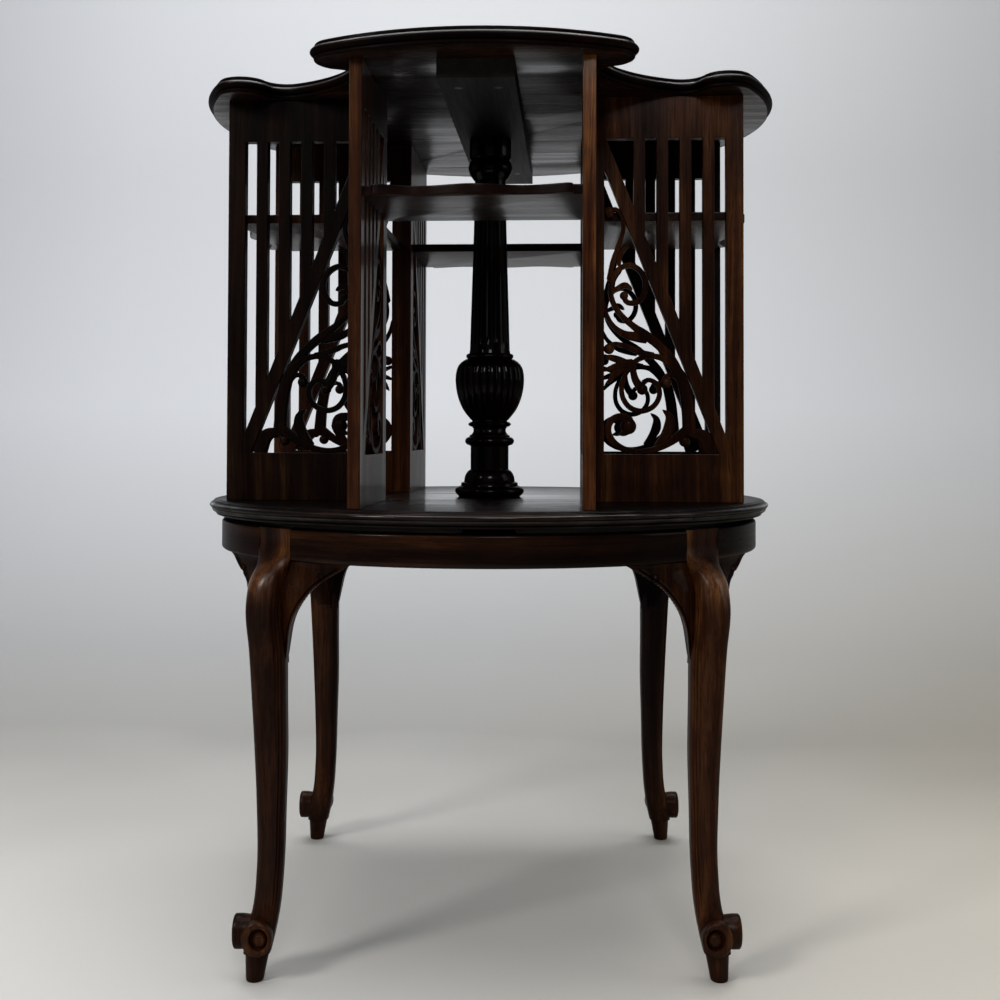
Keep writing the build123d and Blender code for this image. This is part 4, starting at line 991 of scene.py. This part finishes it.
# %% Stems and berries
stems = {
    "trunk": [(209, 66, 7), (207.5, 90, 6.2), (205, 110, 6), (200.5, 126.5, 5.5), (191.5, 138.5, 4.3),
              (180.5, 146, 3), (168.5, 147.5, 2.7), (157, 144, 2.7), (147, 133.5, 2.6), (141, 119, 2.5),
              (142, 105.5, 2.6), (150, 95, 2.7), (161, 92, 2.8), (173, 97, 2.7), (179, 109, 2.5),
              (176.5, 119, 2.4), (167.5, 123.5, 2.4), (161, 119.5, 3)],
    "inner_leaf": [(152.5, 142, 2.6), (152.5, 132.5, 3.2), (155.5, 122, 3.8), (161, 115, 4.6)],
    "small_curl": [(205, 112, 3), (200, 122, 2.8), (192.5, 128.5, 2.5), (185.5, 127, 2.5), (184.5, 121, 3.2)],
    "low_leaf": [(150, 138.5, 3.6), (140, 134.5, 4.2), (132.5, 128, 3.2), (126.5, 119.5, 0.8)],
    "mid_leaf": [(147, 139.5, 3.4), (137, 138, 3.4), (129.5, 135.5, 2.6), (121.5, 132.5, 1)],
    "high_leaf": [(153.5, 142.5, 2.4), (142.5, 142, 2.6), (132.5, 144.5, 2.4), (121.5, 149, 1.4)],
    "left_curl": [(175, 148.5, 2.4), (164, 150.5, 2.8), (153.5, 154, 2.8), (142.5, 158.5, 2.5),
                  (132, 159.5, 2.4), (127, 155.5, 3.2)],
    "side_leaf": [(168.5, 164.5, 4.5), (156.5, 167, 5), (143.5, 170, 3.6), (132.5, 178, 2.4),
                  (125.5, 190, 2), (122, 204, 1.6)],
    "branch": [(200, 126.5, 5), (191, 144, 4.6), (179.5, 157, 4.2), (166.5, 168, 4.4), (152, 178.5, 3.2),
               (140, 189.5, 2.8), (132, 202, 2.7), (129.5, 214, 2.6), (131.5, 226, 2.6), (138.5, 236.5, 2.6),
               (149, 240, 2.6), (159, 234.5, 2.7), (164.5, 223.5, 2.8), (163, 210.5, 3), (155, 202, 2.8),
               (145.5, 203, 2.5), (143, 209.5, 3)],
    "ring_leaf": [(130, 213, 1.6), (136, 216, 2.6), (144.5, 219.5, 3), (151.5, 215, 1.2)],
    "top_leaf": [(137.5, 239.5, 2.4), (139, 250, 2.8), (143.5, 256.5, 2), (148.5, 260.5, 0.7)],
    "top_tendril": [(127.5, 224, 2.6), (132.5, 246, 2.6), (139, 263.5, 2.4), (142.5, 278.5, 2.2),
                    (140, 291, 2.2), (134, 297, 2.2), (128.5, 294.5, 3)],
    "volute": [(211, 77, 5), (198.5, 67, 4.6), (185, 58, 3.6), (171, 52.5, 3), (156.5, 51, 2.8),
               (142, 54, 3.2), (131, 62, 3.7), (126.5, 72.5, 3.9), (130, 82, 3.6), (138.5, 86, 4),
               (147, 82.5, 5.5), (148, 76, 6.5)],
    "volute_tip": [(148, 75, 6), (143, 69.5, 3.2), (137.5, 68, 0.8)],
    "bud": [(175, 54.5, 3), (184, 66.5, 4.6), (189, 77.5, 5.4), (188.5, 87, 3.6), (182, 93.5, 0.8)],
    "foot_leaf": [(209, 68, 4), (217, 69, 5.5), (225, 64, 7.5), (229, 56, 8.5), (232, 47, 9)],
    "foot_curl": [(217, 68, 3), (211, 73, 2.6), (204, 71, 2.6), (201, 65.5, 3), (204, 61.5, 3.6)],
}
berries = [(161.5, 114, 5.6), (185.5, 121, 5.4), (128, 155, 5.4), (128, 294, 5.4), (147.5, 76.5, 8.2),
           (204, 61.5, 5.6), (143, 209, 4.4)]


def stem_shell(points, thickness):
    """Pillow section carried along a smooth line: sideways the half width times a power of the
    cosine, in depth the half thickness times a power of the sine, with a shallow vein down the
    middle of both faces."""
    points = np.asarray(points, float)
    length = run_length(points[:, :2])
    spots = np.linspace(0, length[-1], max(14, int(length[-1] / 2.2)))
    line = np.stack([smooth(spots, length, points[:, axis]) for axis in range(3)], -1)
    ends = np.minimum(spots, length[-1] - spots)
    half = line[:, 2] * np.sqrt(np.clip(1 - (1 - np.clip(ends / (0.6 * line[:, 2]), 0, 1)) ** 2, 0.01, 1))
    lean = unit_rows(np.gradient(line[:, :2], spots, axis=0))
    across, through = polar(1, full_turn(24)).T
    aside = np.sign(across) * np.abs(across) ** 0.4
    deep = np.sign(through) * np.abs(through) ** 0.3
    vein = 1 - 0.12 * bump(aside, 0, 0.28)
    sideways = half[:, None] * aside[None]
    depth = 0.5 * thickness * deep * vein * np.ones_like(half)[:, None]
    # Darker and duller all over, and darker still down the middle vein: painted shade in the vein.
    return tube(np.stack([line[:, :1] - lean[:, 1:] * sideways, BOARD / 2 + depth,
                          line[:, 1:2] + lean[:, :1] * sideways], -1),
                -0.7 - 0.4 * bump(aside, 0, 0.2) * np.ones_like(half)[:, None])


def berry_shell(x, z, radius, thickness):
    """Flattened ball: a circle's radius times the sine, the half thickness times the cosine."""
    rise = np.linspace(0.03, pi - 0.03, 15)[:, None]
    disc = polar(radius * np.sin(rise) ** 0.7, full_turn(28))
    depth = np.broadcast_to(BOARD / 2 + thickness / 2 * np.cos(rise), disc.shape[:2])
    return tube(np.stack([x + disc[..., 0], depth, z + disc[..., 1]], -1), -0.3)


STEM_DEPTH, STEM_SETBACK, BERRY_DEPTH = 10.2, 0.25, 10.8
scroll = [stem_shell(points, STEM_DEPTH - STEM_SETBACK * (number % 4))
          for number, points in enumerate(stems.values())]
scroll += [berry_shell(*berry, BERRY_DEPTH) for berry in berries]
board = panel_board_shell()
print("scroll points on a panel:", sum(len(part[0]) for part in scroll))


# %% Place the panels
def placed(part, mirrored):
    """A panel's shell moved to one side of a bay: the near face is the one outside the bay."""
    points, faces, rubbed = part
    across = -(BAY_HALF + BOARD) + points[:, 1] if mirrored else BAY_HALF + BOARD - points[:, 1]
    moved = np.stack([points[:, 0], across, points[:, 2] + PLATEAU_TOP], -1)
    return shell(moved, faces, rubbed)


neighbours = ["front", "right", "back", "left"]
for row, quarters_round in rows.items():
    spot = neighbours.index(row)
    for mirrored in (False, True):
        beside = neighbours[(spot - 1) % 4 if mirrored else (spot + 1) % 4]
        wood = lit_and_shaded_panel_woods[(2 * spot + mirrored) % 4]
        turn = quarters_round * pi / 2
        sawn = make_piece(f"panel_board_{row}_{beside}", "bookcase", [placed(board, mirrored)], wood,
                          [f"panel_{row}_{beside}"], sharp=30.0, turn=turn)
        softened = sawn.modifiers.new("softened_edges", "BEVEL")
        softened.width, softened.segments = 0.7 * MM, 2
        softened.limit_method, softened.angle_limit = "ANGLE", radians(30)
        softened.harden_normals = True
        make_piece(f"panel_scroll_{row}_{beside}", "bookcase",
                   [placed(part, mirrored) for part in scroll], wood, sharp=60.0, turn=turn)
print("panels placed:", 8)

# %% [markdown]
# ## Floor, backdrop, lamps and camera
# The bookcase stands in a pale room: a floor that curves up into a backdrop. Its paint holds painted
# shade: the floor is darker further back and lighter near the camera, warmer and darker to the
# right, and the backdrop is darker to the right. The key lamp at the left and a weaker one in front
# give the knees their highlights, a wide lamp overhead lights the floor and the rims, and a weak
# one fills the right side. The backdrop has a lamp of its own, and the world's even light keeps the
# shadows open. The camera stands low, looking slightly up, with its picture shifted down as a view
# camera's is.

# %% Room
FLOOR_START, FLOOR_END, BEND_RADIUS, WALL_TOP, ROOM_HALF = -4.5, 1.6, 1.4, 5.5, 5.0
swing = np.linspace(0.1, pi / 2, 16)
room_line = np.concatenate([
    [(FLOOR_START, 0.0), (FLOOR_END, 0.0)],
    (FLOOR_END, BEND_RADIUS) + BEND_RADIUS * np.stack([np.sin(swing), -np.cos(swing)], -1),
    [(FLOOR_END + BEND_RADIUS, WALL_TOP)],
])
sheet_points = [(side, deep, high) for side in (-ROOM_HALF, ROOM_HALF) for deep, high in room_line]
room_mesh = bpy.data.meshes.new("room")
room_mesh.from_pydata(sheet_points, [], grid_faces(2, len(room_line)).tolist())
room_mesh.polygons.foreach_set("use_smooth", np.ones(len(room_mesh.polygons), bool))
room = add_object("room", room_mesh)
room_paint_with_painted_shade, tree, surface, place = new_material("pale_paint_with_painted_shade")
side_of_room, depth_of_room, level = separated(tree, place)
cloud = noise(tree, place, 1.4, 1.0, 2.0, 0.5)
# Painted shade: the floor is painted darker further back and lighter near the camera, with soft mottling.
painted_floor_falloff = (depth_of_room * 0.85 + 0.34 + (cloud - 0.5) * 0.6).limited()
floor_paint_with_painted_shade = blend_colours(tree, painted_floor_falloff, (0.56, 0.55, 0.525, 1.0), (0.25, 0.247, 0.236, 1.0))
# Painted light: the floor is painted warmer and darker to the right.
painted_warmth_to_right = (side_of_room * 0.9 + 0.1).limited()
floor_paint_with_painted_shade = blend_colours(tree, painted_warmth_to_right, floor_paint_with_painted_shade, (0.9, 0.83, 0.7, 1.0), "MULTIPLY")
# Painted shade: the backdrop is painted darker to the right.
painted_wall_falloff = (side_of_room * 0.35 + 0.5).limited()
wall_paint_with_painted_shade = blend_colours(tree, painted_wall_falloff, (0.545, 0.56, 0.59, 1.0), (0.4, 0.41, 0.42, 1.0))
rise = (level * 0.6 + (depth_of_room - 0.8) * 0.33).limited()
room_colour = blend_colours(tree, rise, floor_paint_with_painted_shade, wall_paint_with_painted_shade)
connect(surface, {"Base Color": room_colour, "Roughness": 0.65})
room_mesh.materials.append(room_paint_with_painted_shade)


def lamp(name, place, aim, size, power, colour=(1.0, 1.0, 1.0)):
    """A square soft lamp that faces a point."""
    light = bpy.data.lights.new(name, "AREA")
    light.shape, light.size, light.size_y = "RECTANGLE", size[0], size[1]
    light.energy, light.color = power, colour
    holder = add_object(name, light)
    holder.location = place
    holder.rotation_euler = (Vector(aim) - Vector(place)).to_track_quat("-Z", "Y").to_euler()


lamp("key_lamp", (-1.9, -2.0, 1.9), (0, 0, 0.45), (0.7, 0.7), 50.0, (1.0, 0.98, 0.96))
lamp("second_lamp", (0.3, -2.7, 2.0), (0, 0, 0.4), (0.7, 0.7), 26.0)
lamp("overhead_lamp", (0.0, -0.2, 3.3), (0, -0.2, 0.0), (2.6, 2.6), 70.0)
lamp("right_fill", (2.8, -0.4, 1.6), (0, 0, 0.5), (1.4, 2.0), 12.0, (0.95, 0.98, 1.0))
lamp("backdrop_lamp", (0.0, 0.9, 3.2), (0, 2.6, 1.0), (3.0, 1.2), 75.0)
world = bpy.data.worlds.new("studio")
bpy.context.scene.world = world
world.use_nodes = True
connect(world.node_tree.nodes["Background"], {"Color": (0.93, 0.96, 1.0, 1.0), "Strength": 0.14})
bpy.context.scene.view_settings.view_transform = "Standard"
print("lamps:", len(bpy.data.lights))

# %% Camera
camera_data = bpy.data.cameras.new("camera")
camera = add_object("camera", camera_data)
camera_data.sensor_width = 36.0
camera_data.lens = 1.31917 * camera_data.sensor_width
camera_data.shift_y = -0.09435
heading, pitch, roll = radians(3.2435), radians(1.2892), radians(0.1604)
camera.matrix_world = (Matrix.Translation((0.09336, -1.44743, 0.50506))
                       @ Matrix.Rotation(heading, 4, "Z")
                       @ Matrix.Rotation(pi / 2 + pitch, 4, "X") @ Matrix.Rotation(roll, 4, "Z"))
bpy.context.scene.camera = camera
print("camera lens:", round(camera_data.lens, 2), "mm")

# %% [markdown]
# ## Finish
# The last line brings the view layer up to date.

# %% Update the scene
bpy.context.view_layer.update()
